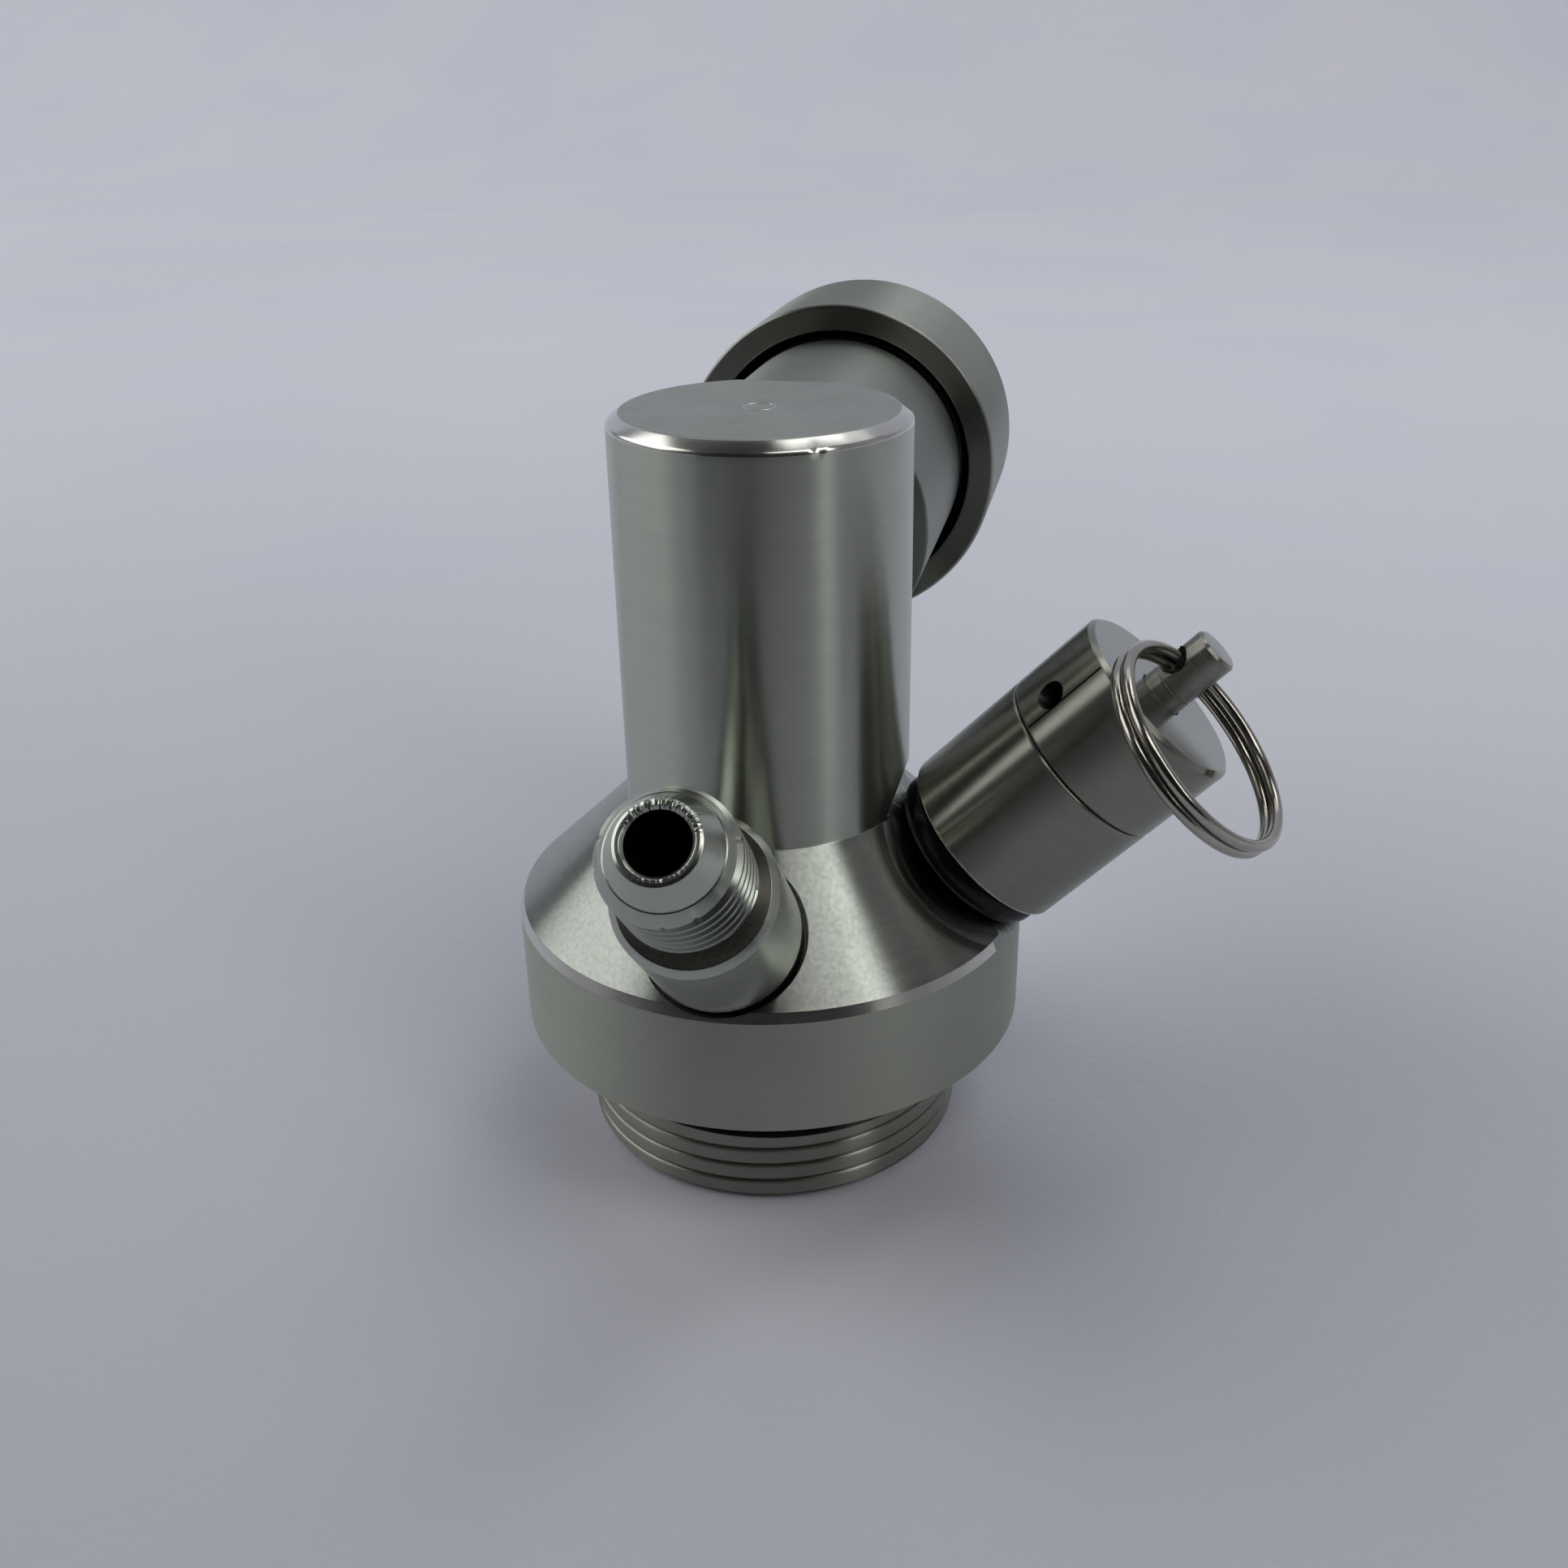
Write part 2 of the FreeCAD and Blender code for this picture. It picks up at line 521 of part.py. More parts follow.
relief_foot = relief_seat - relief_shank_length
relief_base = relief_seat + relief_ring_section
relief_joint = relief_base + relief_base_length
relief_top = relief_joint + relief_cap_length
relief_radius = relief_diameter / 2
chamber_floor = relief_base + relief_floor
lip_top = chamber_floor + seat_lip_height
passage_radius = relief_passage_diameter / 2
seam_edge = relief_cap_edge / 4
relief_housing = turned("relief_housing", [
    (passage_radius, relief_foot + fixed_gap),
    (relief_shank_diameter / 2, relief_foot + fixed_gap),
    (relief_shank_diameter / 2, relief_base),
    (relief_radius, relief_base),
    (relief_radius, relief_joint - seam_edge),
    (relief_radius - seam_edge, relief_joint),
    (relief_spigot_diameter / 2, relief_joint),
    (relief_spigot_diameter / 2, relief_joint + relief_spigot_length),
    (relief_chamber_diameter / 2, relief_joint + relief_spigot_length),
    (relief_chamber_diameter / 2, chamber_floor),
    (passage_radius + seat_lip_width, chamber_floor),
    (passage_radius + seat_lip_width / 2, lip_top),
    (passage_radius, lip_top)])
relief_housing.Placement = relief_axis
keep(relief_housing, "relief_housing")
seal_ring(
    "relief_seal_ring", relief_shank_diameter + fixed_gap, relief_ring_section,
    relief_seat + relief_ring_section / 2, relief_axis)

cap_ceiling = relief_top - relief_cap_wall
cap_bore_radius = relief_spigot_diameter / 2 + fixed_gap
stem_radius = stem_diameter / 2
relief_cap_turned = turned("relief_cap_turned", [
    (cap_bore_radius, relief_joint),
    (relief_radius - seam_edge, relief_joint),
    (relief_radius, relief_joint + seam_edge),
    (relief_radius, relief_top - relief_cap_edge),
    (relief_radius - relief_cap_edge, relief_top),
    (stem_radius + sliding_gap, relief_top),
    (stem_radius + sliding_gap, cap_ceiling),
    (cap_bore_radius, cap_ceiling)])
relief_cap_turned.Placement = relief_axis
vent_axis = laid_along_x(turned_about(shifted(relief_axis, along=relief_joint + vent_height), vent_turn))
vent_bore = cylinder("vent_bore", vent_diameter, relief_radius, vent_axis)
keep(cut("relief_cap", relief_cap_turned, [vent_bore]), "relief_cap")

seal_top = lip_top + relief_seal_height
relief_seal = turned("relief_seal", [
    (0, lip_top),
    (relief_seal_diameter / 2, lip_top),
    (relief_seal_diameter / 2, seal_top),
    (0, seal_top)])
relief_seal.Placement = relief_axis
keep(relief_seal, "relief_seal")

plunger_top = seal_top + plunger_height
stem_top = relief_top + stem_reach
relief_stem_turned = turned("relief_stem_turned", [
    (0, seal_top),
    (plunger_diameter / 2, seal_top),
    (plunger_diameter / 2, plunger_top),
    (stem_radius, plunger_top),
    (stem_radius, stem_top - stem_edge),
    (stem_radius - stem_edge, stem_top),
    (0, stem_top)])
relief_stem_turned.Placement = relief_axis
ring_hinge = turned_about(shifted(relief_axis, along=relief_top + stem_hole_height), stem_hole_turn)
stem_hole = cylinder(
    "stem_hole", stem_hole_diameter, 2 * stem_diameter,
    laid_along_x(shifted(ring_hinge, across=0 - stem_diameter)))
keep(cut("relief_stem", relief_stem_turned, [stem_hole]), "relief_stem")
spring(
    "relief_spring", relief_coil_diameter, relief_wire, relief_coils, cap_ceiling - plunger_top,
    shifted(relief_axis, along=plunger_top))

# The ring's plane holds the cross hole's axis and leans down onto the cap's rim
ring_middle = (pull_ring_diameter - pull_ring_wire) / 2
leaned = ring_hinge.multiply(
    FreeCAD.Placement(origin, FreeCAD.Rotation(FreeCAD.Vector(1, 0, 0), -number(pull_ring_lean))))
wire_radius = pull_ring_wire / 2
wire_flat = wire_radius / 2
pull_ring = turned("pull_ring", [
    (ring_middle - wire_flat, 0 - 2 * wire_radius),
    (ring_middle + wire_flat, 0 - 2 * wire_radius),
    (ring_middle + wire_radius, 0 - wire_radius - wire_flat),
    (ring_middle + wire_radius, 0 - wire_radius + wire_flat),
    (ring_middle + wire_flat, 0),
    (ring_middle + wire_radius, wire_radius - wire_flat),
    (ring_middle + wire_radius, wire_radius + wire_flat),
    (ring_middle + wire_flat, 2 * wire_radius),
    (ring_middle - wire_flat, 2 * wire_radius),
    (ring_middle - wire_radius, wire_radius + wire_flat),
    (ring_middle - wire_radius, wire_radius - wire_flat),
    (ring_middle - wire_flat, 0),
    (ring_middle - wire_radius, 0 - wire_radius + wire_flat),
    (ring_middle - wire_radius, 0 - wire_radius - wire_flat)])
pull_ring.Placement = shifted(leaned, up=ring_middle)
keep(pull_ring, "pull_ring")

# Regulator barrel, pressed into the column and butted against its flat

barrel_radius = barrel_diameter / 2
spigot_foot = flat_distance - spigot_length
barrel_end = flat_distance + barrel_length
thread_start = barrel_end - knob_thread_length
insert_end = flat_distance + piston_bore_floor
insert_foot = insert_end - insert_length
valve_floor = flat_distance + valve_bore_floor
piston_bore_radius = piston_bore_diameter / 2
barrel_turned = turned("barrel_turned", [
    (0, spigot_foot),
    (spigot_diameter / 2, spigot_foot),
    (spigot_diameter / 2, flat_distance),
    (barrel_radius - barrel_edge / 2, flat_distance),
    (barrel_radius, flat_distance + barrel_edge / 2),
    (barrel_radius, thread_start - knob_undercut_length),
    (barrel_radius - knob_undercut_depth, thread_start - knob_undercut_length),
    (barrel_radius - knob_undercut_depth, thread_start),
    (barrel_radius, thread_start + knob_undercut_depth),
    (barrel_radius, barrel_end - barrel_edge),
    (barrel_radius - barrel_edge, barrel_end),
    (piston_bore_radius, barrel_end),
    (piston_bore_radius, insert_end),
    (insert_diameter / 2, insert_end),
    (insert_diameter / 2, insert_foot),
    (valve_bore_diameter / 2, insert_foot),
    (valve_bore_diameter / 2, valve_floor),
    (0, valve_floor)])
barrel_turned.Placement = barrel_axis
# The barrel's frame has X level to the left, so the port opens along it
port_axis = laid_along_x(shifted(barrel_axis, along=flat_distance + port_distance))
port_mouth = barrel_radius - port_face_drop
port_floor = port_mouth - port_depth
pin_seat = port_floor - pin_head_length
port_face = cylinder("port_face", port_face_diameter, barrel_radius, shifted(port_axis, along=port_mouth))
port_thread = cylinder("port_thread", port_diameter, barrel_radius, shifted(port_axis, along=port_floor))
port_pin_socket = cylinder(
    "port_pin_socket", pin_head_diameter + 2 * fixed_gap, barrel_radius, shifted(port_axis, along=pin_seat))
port_passage = cylinder("port_passage", 2 * pin_bore_diameter, pin_seat + 1, port_axis)
barrel_link = cylinder(
    "barrel_link", link_bore_diameter, piston_bore_floor + 1,
    shifted(aimed(180, 0, link_height), along=flat_distance - 0.5))
keep(cut("regulator_barrel", barrel_turned, [
    port_face, port_thread, port_pin_socket, port_passage, barrel_link]), "regulator_barrel")

pin_top = port_floor + pin_needle_length
piercing_pin = turned("piercing_pin", [
    (pin_bore_diameter / 2, pin_seat + fixed_gap),
    (pin_head_diameter / 2, pin_seat + fixed_gap),
    (pin_head_diameter / 2, port_floor),
    (pin_needle_diameter / 2, port_floor),
    (pin_needle_diameter / 2, pin_top - pin_needle_diameter / 2),
    (pin_bore_diameter / 2, pin_top)])
piercing_pin.Placement = port_axis
keep(piercing_pin, "piercing_pin")
cartridge_seal = turned("cartridge_seal", [
    (port_seal_bore / 2, port_floor),
    (port_diameter / 2 - 2 * fixed_gap, port_floor),
    (port_diameter / 2 - 2 * fixed_gap, port_floor + port_seal_height),
    (port_seal_bore / 2, port_floor + port_seal_height)])
cartridge_seal.Placement = port_axis
keep(cartridge_seal, "cartridge_seal")

# Inlet valve: seat insert with its ring, the valve that closes on it and the closing spring

insert_groove_radius = insert_diameter / 2 - insert_ring_section - fixed_gap
insert_groove_foot = insert_foot + (insert_length - insert_ring_section) / 2 - fixed_gap
insert_groove_top = insert_groove_foot + insert_ring_section + 2 * fixed_gap
seat_insert = turned("seat_insert", [
    (insert_bore_diameter / 2, insert_foot + fixed_gap),
    (insert_diameter / 2 - fixed_gap, insert_foot + fixed_gap),
    (insert_diameter / 2 - fixed_gap, insert_groove_foot),
    (insert_groove_radius, insert_groove_foot),
    (insert_groove_radius, insert_groove_top),
    (insert_diameter / 2 - fixed_gap, insert_groove_top),
    (insert_diameter / 2 - fixed_gap, insert_end),
    (insert_bore_diameter, insert_end),
    (insert_bore_diameter / 2, insert_end - insert_bore_diameter / 2)])
seat_insert.Placement = barrel_axis
keep(seat_insert, "seat_insert")
seal_ring(
    "insert_seal_ring", insert_diameter - 2 * insert_ring_section - 2 * fixed_gap, insert_ring_section,
    insert_foot + insert_length / 2, barrel_axis, 4)

valve_face = insert_foot
valve_shoulder = valve_face - valve_head_length
inlet_valve = turned("inlet_valve", [
    (0, valve_shoulder - valve_tail_length),
    (valve_tail_diameter / 2, valve_shoulder - valve_tail_length),
    (valve_tail_diameter / 2, valve_shoulder),
    (valve_head_diameter / 2, valve_shoulder),
    (valve_head_diameter / 2, valve_face),
    (0, valve_face)])
inlet_valve.Placement = barrel_axis
keep(inlet_valve, "inlet_valve")
spring(
    "inlet_valve_spring", valve_coil_diameter, valve_wire, valve_coils, valve_shoulder - valve_floor,
    shifted(barrel_axis, along=valve_floor))

# Piston with its sealing ring, pushed by the range spring

piston_foot = insert_end + piston_gap
piston_end = piston_foot + piston_length
piston_radius = piston_bore_radius - sliding_gap
piston_groove_radius = piston_radius - piston_ring_section - fixed_gap
piston_groove_foot = piston_foot + (piston_length - piston_ring_section) / 2 - fixed_gap
piston_groove_top = piston_groove_foot + piston_ring_section + 2 * fixed_gap
piston = turned("piston", [
    (0, valve_face + fixed_gap),
    (piston_stem_diameter / 2, valve_face + fixed_gap),
    (piston_stem_diameter / 2, piston_foot),
    (piston_radius, piston_foot),
    (piston_radius, piston_groove_foot),
    (piston_groove_radius, piston_groove_foot),
    (piston_groove_radius, piston_groove_top),
    (piston_radius, piston_groove_top),
    (piston_radius, piston_end),
    (piston_boss_diameter / 2, piston_end),
    (piston_boss_diameter / 2, piston_end + piston_boss_length),
    (0, piston_end + piston_boss_length)])
piston.Placement = barrel_axis
keep(piston, "piston")
seal_ring(
    "piston_seal_ring", 2 * piston_groove_radius, piston_ring_section, piston_foot + piston_length / 2,
    barrel_axis, 4)
spring(
    "range_spring", range_coil_diameter, range_wire, range_coils, range_spring_length,
    shifted(barrel_axis, along=piston_end))

# Spring button and the hand knob that screws over the barrel's end

button_foot = piston_end + range_spring_length
button_top = button_foot + button_thickness
dome_top = button_top + button_dome
spring_button = turned("spring_button", [
    (0, button_foot - piston_boss_length),
    (piston_boss_diameter / 2, button_foot - piston_boss_length),
    (piston_boss_diameter / 2, button_foot),
    (button_diameter / 2, button_foot),
    (button_diameter / 2, button_top),
    (button_dome_diameter / 2, button_top),
    (button_dome_diameter / 4, dome_top),
    (0, dome_top)])
spring_button.Placement = barrel_axis
keep(spring_button, "spring_button")

knob_mouth = flat_distance + knob_front
knob_end = knob_mouth + knob_length
knob_radius = knob_diameter / 2
knob_bore_radius = barrel_radius + sliding_gap
knob_mouth_floor = knob_mouth + knob_mouth_depth
knob = turned("regulator_knob", [
    (knob_mouth_diameter / 2, knob_mouth),
    (knob_radius - knob_front_edge, knob_mouth),
    (knob_radius, knob_mouth + knob_front_edge),
    (knob_radius, knob_end - knob_rim_round),
    (knob_radius - 0.134 * knob_rim_round, knob_end - 0.5 * knob_rim_round),
    (knob_radius - 0.5 * knob_rim_round, knob_end - 0.134 * knob_rim_round),
    (knob_radius - knob_rim_round, knob_end),
    (knob_dish_diameter / 2, knob_end),
    (knob_dish_diameter / 2 - knob_dish_depth, knob_end - knob_dish_depth),
    (0, knob_end - knob_dish_depth),
    (0, dome_top),
    (knob_bore_radius, dome_top),
    (knob_bore_radius, knob_mouth_floor),
    (knob_mouth_diameter / 2, knob_mouth_floor)])
knob.Placement = barrel_axis
keep(knob, "regulator_knob")

# Check and write the pieces

doc.recompute()
for thing in doc.Objects:
    if "Invalid" in thing.State or "Error" in thing.State:
        raise RuntimeError(thing.Label + " failed: " + str(thing.State))
os.makedirs("parts", exist_ok=True)
for piece in pieces:
    shape = piece.Shape
    if shape.isNull() or not shape.isValid():
        raise RuntimeError(piece.Label + " has no valid shape")
    print(piece.Label, len(shape.Solids), round(shape.Volume, 2))
    shape.exportStep("parts/" + piece.Label + ".step")
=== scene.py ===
"""Looks of the mini keg tap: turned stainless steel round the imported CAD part.

Lengths are in millimetres until a mesh is made. Every turned piece is an outline of (radius, height)
points about its own axis, with the same axes and heights as the CAD solids. A third number in a
point is the rounding of that corner.
"""

import math

import bmesh
import bpy
import numpy as np
from mathutils import Matrix, Vector, noise


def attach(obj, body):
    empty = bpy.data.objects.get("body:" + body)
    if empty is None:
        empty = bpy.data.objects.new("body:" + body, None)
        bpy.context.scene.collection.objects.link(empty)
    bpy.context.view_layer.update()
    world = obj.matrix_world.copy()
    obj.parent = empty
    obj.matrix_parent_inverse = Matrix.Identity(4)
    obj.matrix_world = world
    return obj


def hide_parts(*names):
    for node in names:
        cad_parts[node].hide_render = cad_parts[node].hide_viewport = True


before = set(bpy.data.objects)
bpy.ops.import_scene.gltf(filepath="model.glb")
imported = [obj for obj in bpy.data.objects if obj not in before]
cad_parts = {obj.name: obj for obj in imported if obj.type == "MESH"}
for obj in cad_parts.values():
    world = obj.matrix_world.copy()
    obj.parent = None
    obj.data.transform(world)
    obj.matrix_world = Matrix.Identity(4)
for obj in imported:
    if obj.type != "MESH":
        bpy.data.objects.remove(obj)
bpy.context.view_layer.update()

MM = 0.001
TURN = 2 * math.pi

# Segments round a piece
FINE = 256              # large pieces
SMALL = 128             # small ones
HOLE = 64               # small holes
PASSAGE = 48            # hidden passages

CREASE = 30             # degrees; sharper edges stay hard
MERGE = 4e-6            # metres; joins the points on an axis and along a turn's seam
SLIVER = 1e-7           # metres; shorter edges are dissolved
ARC_SHARE = 0.46        # of a side, the most that a corner's arc may take


# ---------------------------------------------------------------- axes

def direction(azimuth, elevation):
    """A unit vector. Azimuth runs from -Y towards +X, and both angles are in degrees."""
    a, e = math.radians(azimuth), math.radians(elevation)
    return Vector((math.sin(a) * math.cos(e), -math.cos(a) * math.cos(e), math.sin(e)))


def axis_frame(height, azimuth, elevation):
    """Z along a branch that leaves the head's axis at that height, X level."""
    a = math.radians(azimuth)
    out = direction(azimuth, elevation)
    level = Vector((math.cos(a), math.sin(a), 0))
    turned = Matrix((level, out.cross(level), out)).transposed().to_4x4()
    return Matrix.Translation((0, 0, height)) @ turned


BRANCH_HEIGHT = 9.35        # where outlet and relief valve cross the head's axis
BRANCH_SLOPE = 46           # degrees above level
OUTLET_TURN = 0.6           # degrees from the front towards the right
BARREL_HEIGHT = 55.3        # regulator's axis
PORT_DISTANCE = 18          # cartridge port's axis, from the head's axis

UPRIGHT = Matrix.Identity(4)
OUTLET = axis_frame(BRANCH_HEIGHT, OUTLET_TURN, BRANCH_SLOPE)
RELIEF = axis_frame(BRANCH_HEIGHT, 90, BRANCH_SLOPE)
BARREL = axis_frame(BARREL_HEIGHT, 180, 0)
PORT = Matrix.Translation((0, PORT_DISTANCE, BARREL_HEIGHT)) @ Matrix.Rotation(math.radians(-90), 4, "Y")


# ---------------------------------------------------------------- camera

# Fitted to the circles that the photo shows: column, collar, stub, knob and relief valve
CAMERA_PLACE = (0.03152, -0.13008, 0.09728)
CAMERA_FORWARD = (-0.2033, 0.8804, -0.42845)
CAMERA_LEVEL = (0.97437, 0.22495, 0)
CAMERA_ROLL = -1.088        # degrees
CAMERA_LENS = 36.55
CAMERA_SENSOR = 36


def make_camera():
    forward = Vector(CAMERA_FORWARD).normalized()
    level = Vector(CAMERA_LEVEL).normalized()
    upward = level.cross(forward)
    roll = math.radians(CAMERA_ROLL)
    right = level * math.cos(roll) + upward * math.sin(roll)
    up = upward * math.cos(roll) - level * math.sin(roll)
    data = bpy.data.cameras.new("camera")
    data.sensor_width = CAMERA_SENSOR
    data.lens = CAMERA_LENS
    data.clip_start, data.clip_end = 0.01, 20
    camera = bpy.data.objects.new("camera", data)
    turned = Matrix((right, up, -forward)).transposed().to_4x4()
    camera.matrix_world = Matrix.Translation(CAMERA_PLACE) @ turned
    bpy.context.scene.collection.objects.link(camera)
    bpy.context.scene.camera = camera


make_camera()
bpy.context.scene.view_settings.view_transform = "Standard"


# ---------------------------------------------------------------- meshes

def rounded(corners, rounding, steps=4, closed=False):
    """The outline with an arc at each corner. A corner's third number is its own rounding."""
    count = len(corners)
    points = []
    for i, corner in enumerate(corners):
        here = Vector(corner[:2])
        radius = corner[2] if len(corner) > 2 else rounding
        if radius <= 0 or (not closed and i in (0, count - 1)):
            points.append(tuple(here))
            continue
        before = Vector(corners[(i - 1) % count][:2]) - here
        after = Vector(corners[(i + 1) % count][:2]) - here
        room = ARC_SHARE * min(before.length, after.length)
        before.normalize()
        after.normalize()
        opening = before.angle(after)
        if opening > math.pi - 0.01:
            points.append(tuple(here))
            continue
        tangent = min(radius / math.tan(opening / 2), room)
        radius = tangent * math.tan(opening / 2)
        centre = here + (before + after).normalized() * (radius / math.sin(opening / 2))
        start = here + before * tangent - centre
        end = here + after * tangent - centre
        sweep = start.angle_signed(end)
        for step in range(steps + 1):
            turn = -sweep * step / steps
            points.append(tuple(centre + Vector((
                start.x * math.cos(turn) - start.y * math.sin(turn),
                start.x * math.sin(turn) + start.y * math.cos(turn)))))
    return points


def even_rows(outline, segments):
    """One row of equal (radius, height) points for each point of the outline."""
    return [np.tile(np.array(point, float), (segments + 1, 1)) for point in outline]


def thread_rows(foot, top, crest, pitch, outline, segments, limit):
    """Rows that follow a right-handed helix between two heights.

    outline gives (height, depth) over one pitch, and limit(height) the largest radius there.
    """
    heights = np.array([h / pitch for h, _ in outline])
    depths = np.array([d for _, d in outline])
    angle = np.linspace(0, 1, segments + 1)
    rows = []
    for turn in range(-1, int((top - foot) / pitch) + 2):
        for phase in heights:
            height = np.clip(foot + (turn + phase + angle) * pitch, foot, top)
            within = ((height - foot) / pitch - angle) % 1
            depth = np.interp(within, heights, depths, period=1)
            radius = np.minimum(crest - depth, [limit(h) for h in height])
            rows.append(np.stack([radius, height], 1))
    return rows


def distance_from(place, point):
    """How far a point in metres lies from the frame's Z axis, in millimetres."""
    local = place.inverted() @ (point / MM)
    return math.hypot(local.x, local.y)


def add_object(name, mesh):
    piece = bpy.data.objects.new(name, mesh)
    bpy.context.scene.collection.objects.link(piece)
    return piece


def swept_mesh(name, rows, place, closed=False, dent=None):
    """A mesh turned about the frame's Z from rows of (radius, height) points.

    dent moves each point, in millimetres in that frame.
    """
    rows = np.array(rows)
    across, around = rows.shape[:2]
    angle = np.linspace(0, TURN, around)
    points = np.stack([
        rows[:, :, 0] * np.cos(angle), rows[:, :, 0] * np.sin(angle), rows[:, :, 1]], 2).reshape(-1, 3)
    if dent:
        points = np.array([dent(Vector(p)) for p in points])
    turned = np.array(place.to_3x3())
    points = points @ turned.T + np.array(place.translation)
    faces = []
    for k in range(across if closed else across - 1):
        low, high = k * around, ((k + 1) % across) * around
        faces += [(low + i, low + i + 1, high + i + 1, high + i) for i in range(around - 1)]
    mesh = bpy.data.meshes.new(name)
    mesh.from_pydata((points * MM).tolist(), [], faces)
    form = bmesh.new()
    form.from_mesh(mesh)
    bmesh.ops.remove_doubles(form, verts=form.verts, dist=MERGE)
    bmesh.ops.dissolve_degenerate(form, dist=SLIVER, edges=form.edges)
    bmesh.ops.recalc_face_normals(form, faces=form.faces)
    form.to_mesh(mesh)
    form.free()
    return mesh


def lathe(name, corners, place, rounding=0.12, segments=SMALL, closed=False):
    """A piece turned about the frame's Z from an outline."""
    outline = rounded(corners, rounding, closed=closed)
    return add_object(name, swept_mesh(name, even_rows(outline, segments), place, closed))


def stepped_bore(outline, place, segments=SMALL):
    """A turned cutter with sharp corners, used up by carve()."""
    return lathe("cutter", outline, place, 0, segments)


def bore(radius, low, high, place, segments=SMALL):
    """A plain round cutter, used up by carve()."""
    return stepped_bore([(0, low), (radius, low), (radius, high), (0, high)], place, segments)


def box_cutter(low, high):
    """A cutter from one corner to the other, used up by carve()."""
    mesh = bpy.data.meshes.new("cutter")
    form = bmesh.new()
    bmesh.ops.create_cube(form, size=1)
    for v in form.verts:
        v.co = Vector([(lo + hi) / 2 + c * (hi - lo) for c, lo, hi in zip(v.co, low, high)]) * MM
    form.to_mesh(mesh)
    form.free()
    return add_object("cutter", mesh)


def carve(piece, cutters):
    for cutter in cutters:
        change = piece.modifiers.new("cut", "BOOLEAN")
        change.operation = "DIFFERENCE"
        change.solver = "EXACT"
        change.object = cutter
    graph = bpy.context.evaluated_depsgraph_get()
    carved = bpy.data.meshes.new_from_object(piece.evaluated_get(graph))
    piece.modifiers.clear()
    piece.data = carved
    for cutter in cutters:
        bpy.data.objects.remove(cutter)


def smooth(piece):
    """Smooth faces with sharp creases, and flats that stay flat beside small roundings."""
    piece.data.shade_smooth()
    piece.data.set_sharp_from_angle(angle=math.radians(CREASE))
    even = piece.modifiers.new("even", "WEIGHTED_NORMAL")
    even.keep_sharp = True
    even.weight = 60


def torus(name, bore_diameter, section, middle, place, segments=FINE, sides=32):
    """A ring of round section, with its middle at that height."""
    centre = bore_diameter / 2 + section / 2
    outline = [(centre + section / 2 * math.cos(TURN * i / sides),
                middle + section / 2 * math.sin(TURN * i / sides)) for i in range(sides)]
    piece = add_object(name, swept_mesh(name, even_rows(outline, segments), place, closed=True))
    piece.data.shade_smooth()
    return piece


# Rows of a wire's domed end, as (way out along the wire, width), both in shares of its radius
DOME = ((0.35, 0.93), (0.6, 0.72), (0.74, 0.4))


def tube(name, path, radius, sides=16):
    """A wire along a list of points, with domed ends."""
    count = len(path)
    points, faces = [], []
    side = None
    for i, here in enumerate(path):
        along = (path[min(i + 1, count - 1)] - path[max(i - 1, 0)]).normalized()
        if side is None:
            side = along.orthogonal().normalized()
        side = (side - along * side.dot(along)).normalized()
        other = along.cross(side)
        for k in range(sides):
            a = TURN * k / sides
            points.append((here + (side * math.cos(a) + other * math.sin(a)) * radius) * MM)
    for i in range(count - 1):
        for k in range(sides):
            n = (k + 1) % sides
            faces.append((i * sides + k, i * sides + n, (i + 1) * sides + n, (i + 1) * sides + k))
    for end, inner in ((0, 1), (count - 1, count - 2)):
        along = (path[end] - path[inner]).normalized()
        ring = [end * sides + k for k in range(sides)]
        for share, scale in DOME:
            start = len(points)
            for k in range(sides):
                offset = Vector(points[end * sides + k]) / MM - path[end]
                points.append((path[end] + offset * scale + along * radius * share) * MM)
            for k in range(sides):
                n = (k + 1) % sides
                faces.append((ring[k], ring[n], start + n, start + k))
            ring = [start + k for k in range(sides)]
        faces.append(tuple(ring))
    mesh = bpy.data.meshes.new(name)
    mesh.from_pydata([tuple(p) for p in points], [], faces)
    form = bmesh.new()
    form.from_mesh(mesh)
    bmesh.ops.recalc_face_normals(form, faces=form.faces)
    form.to_mesh(mesh)
    form.free()
    mesh.shade_smooth()
    return add_object(name, mesh)


# ---------------------------------------------------------------- materials

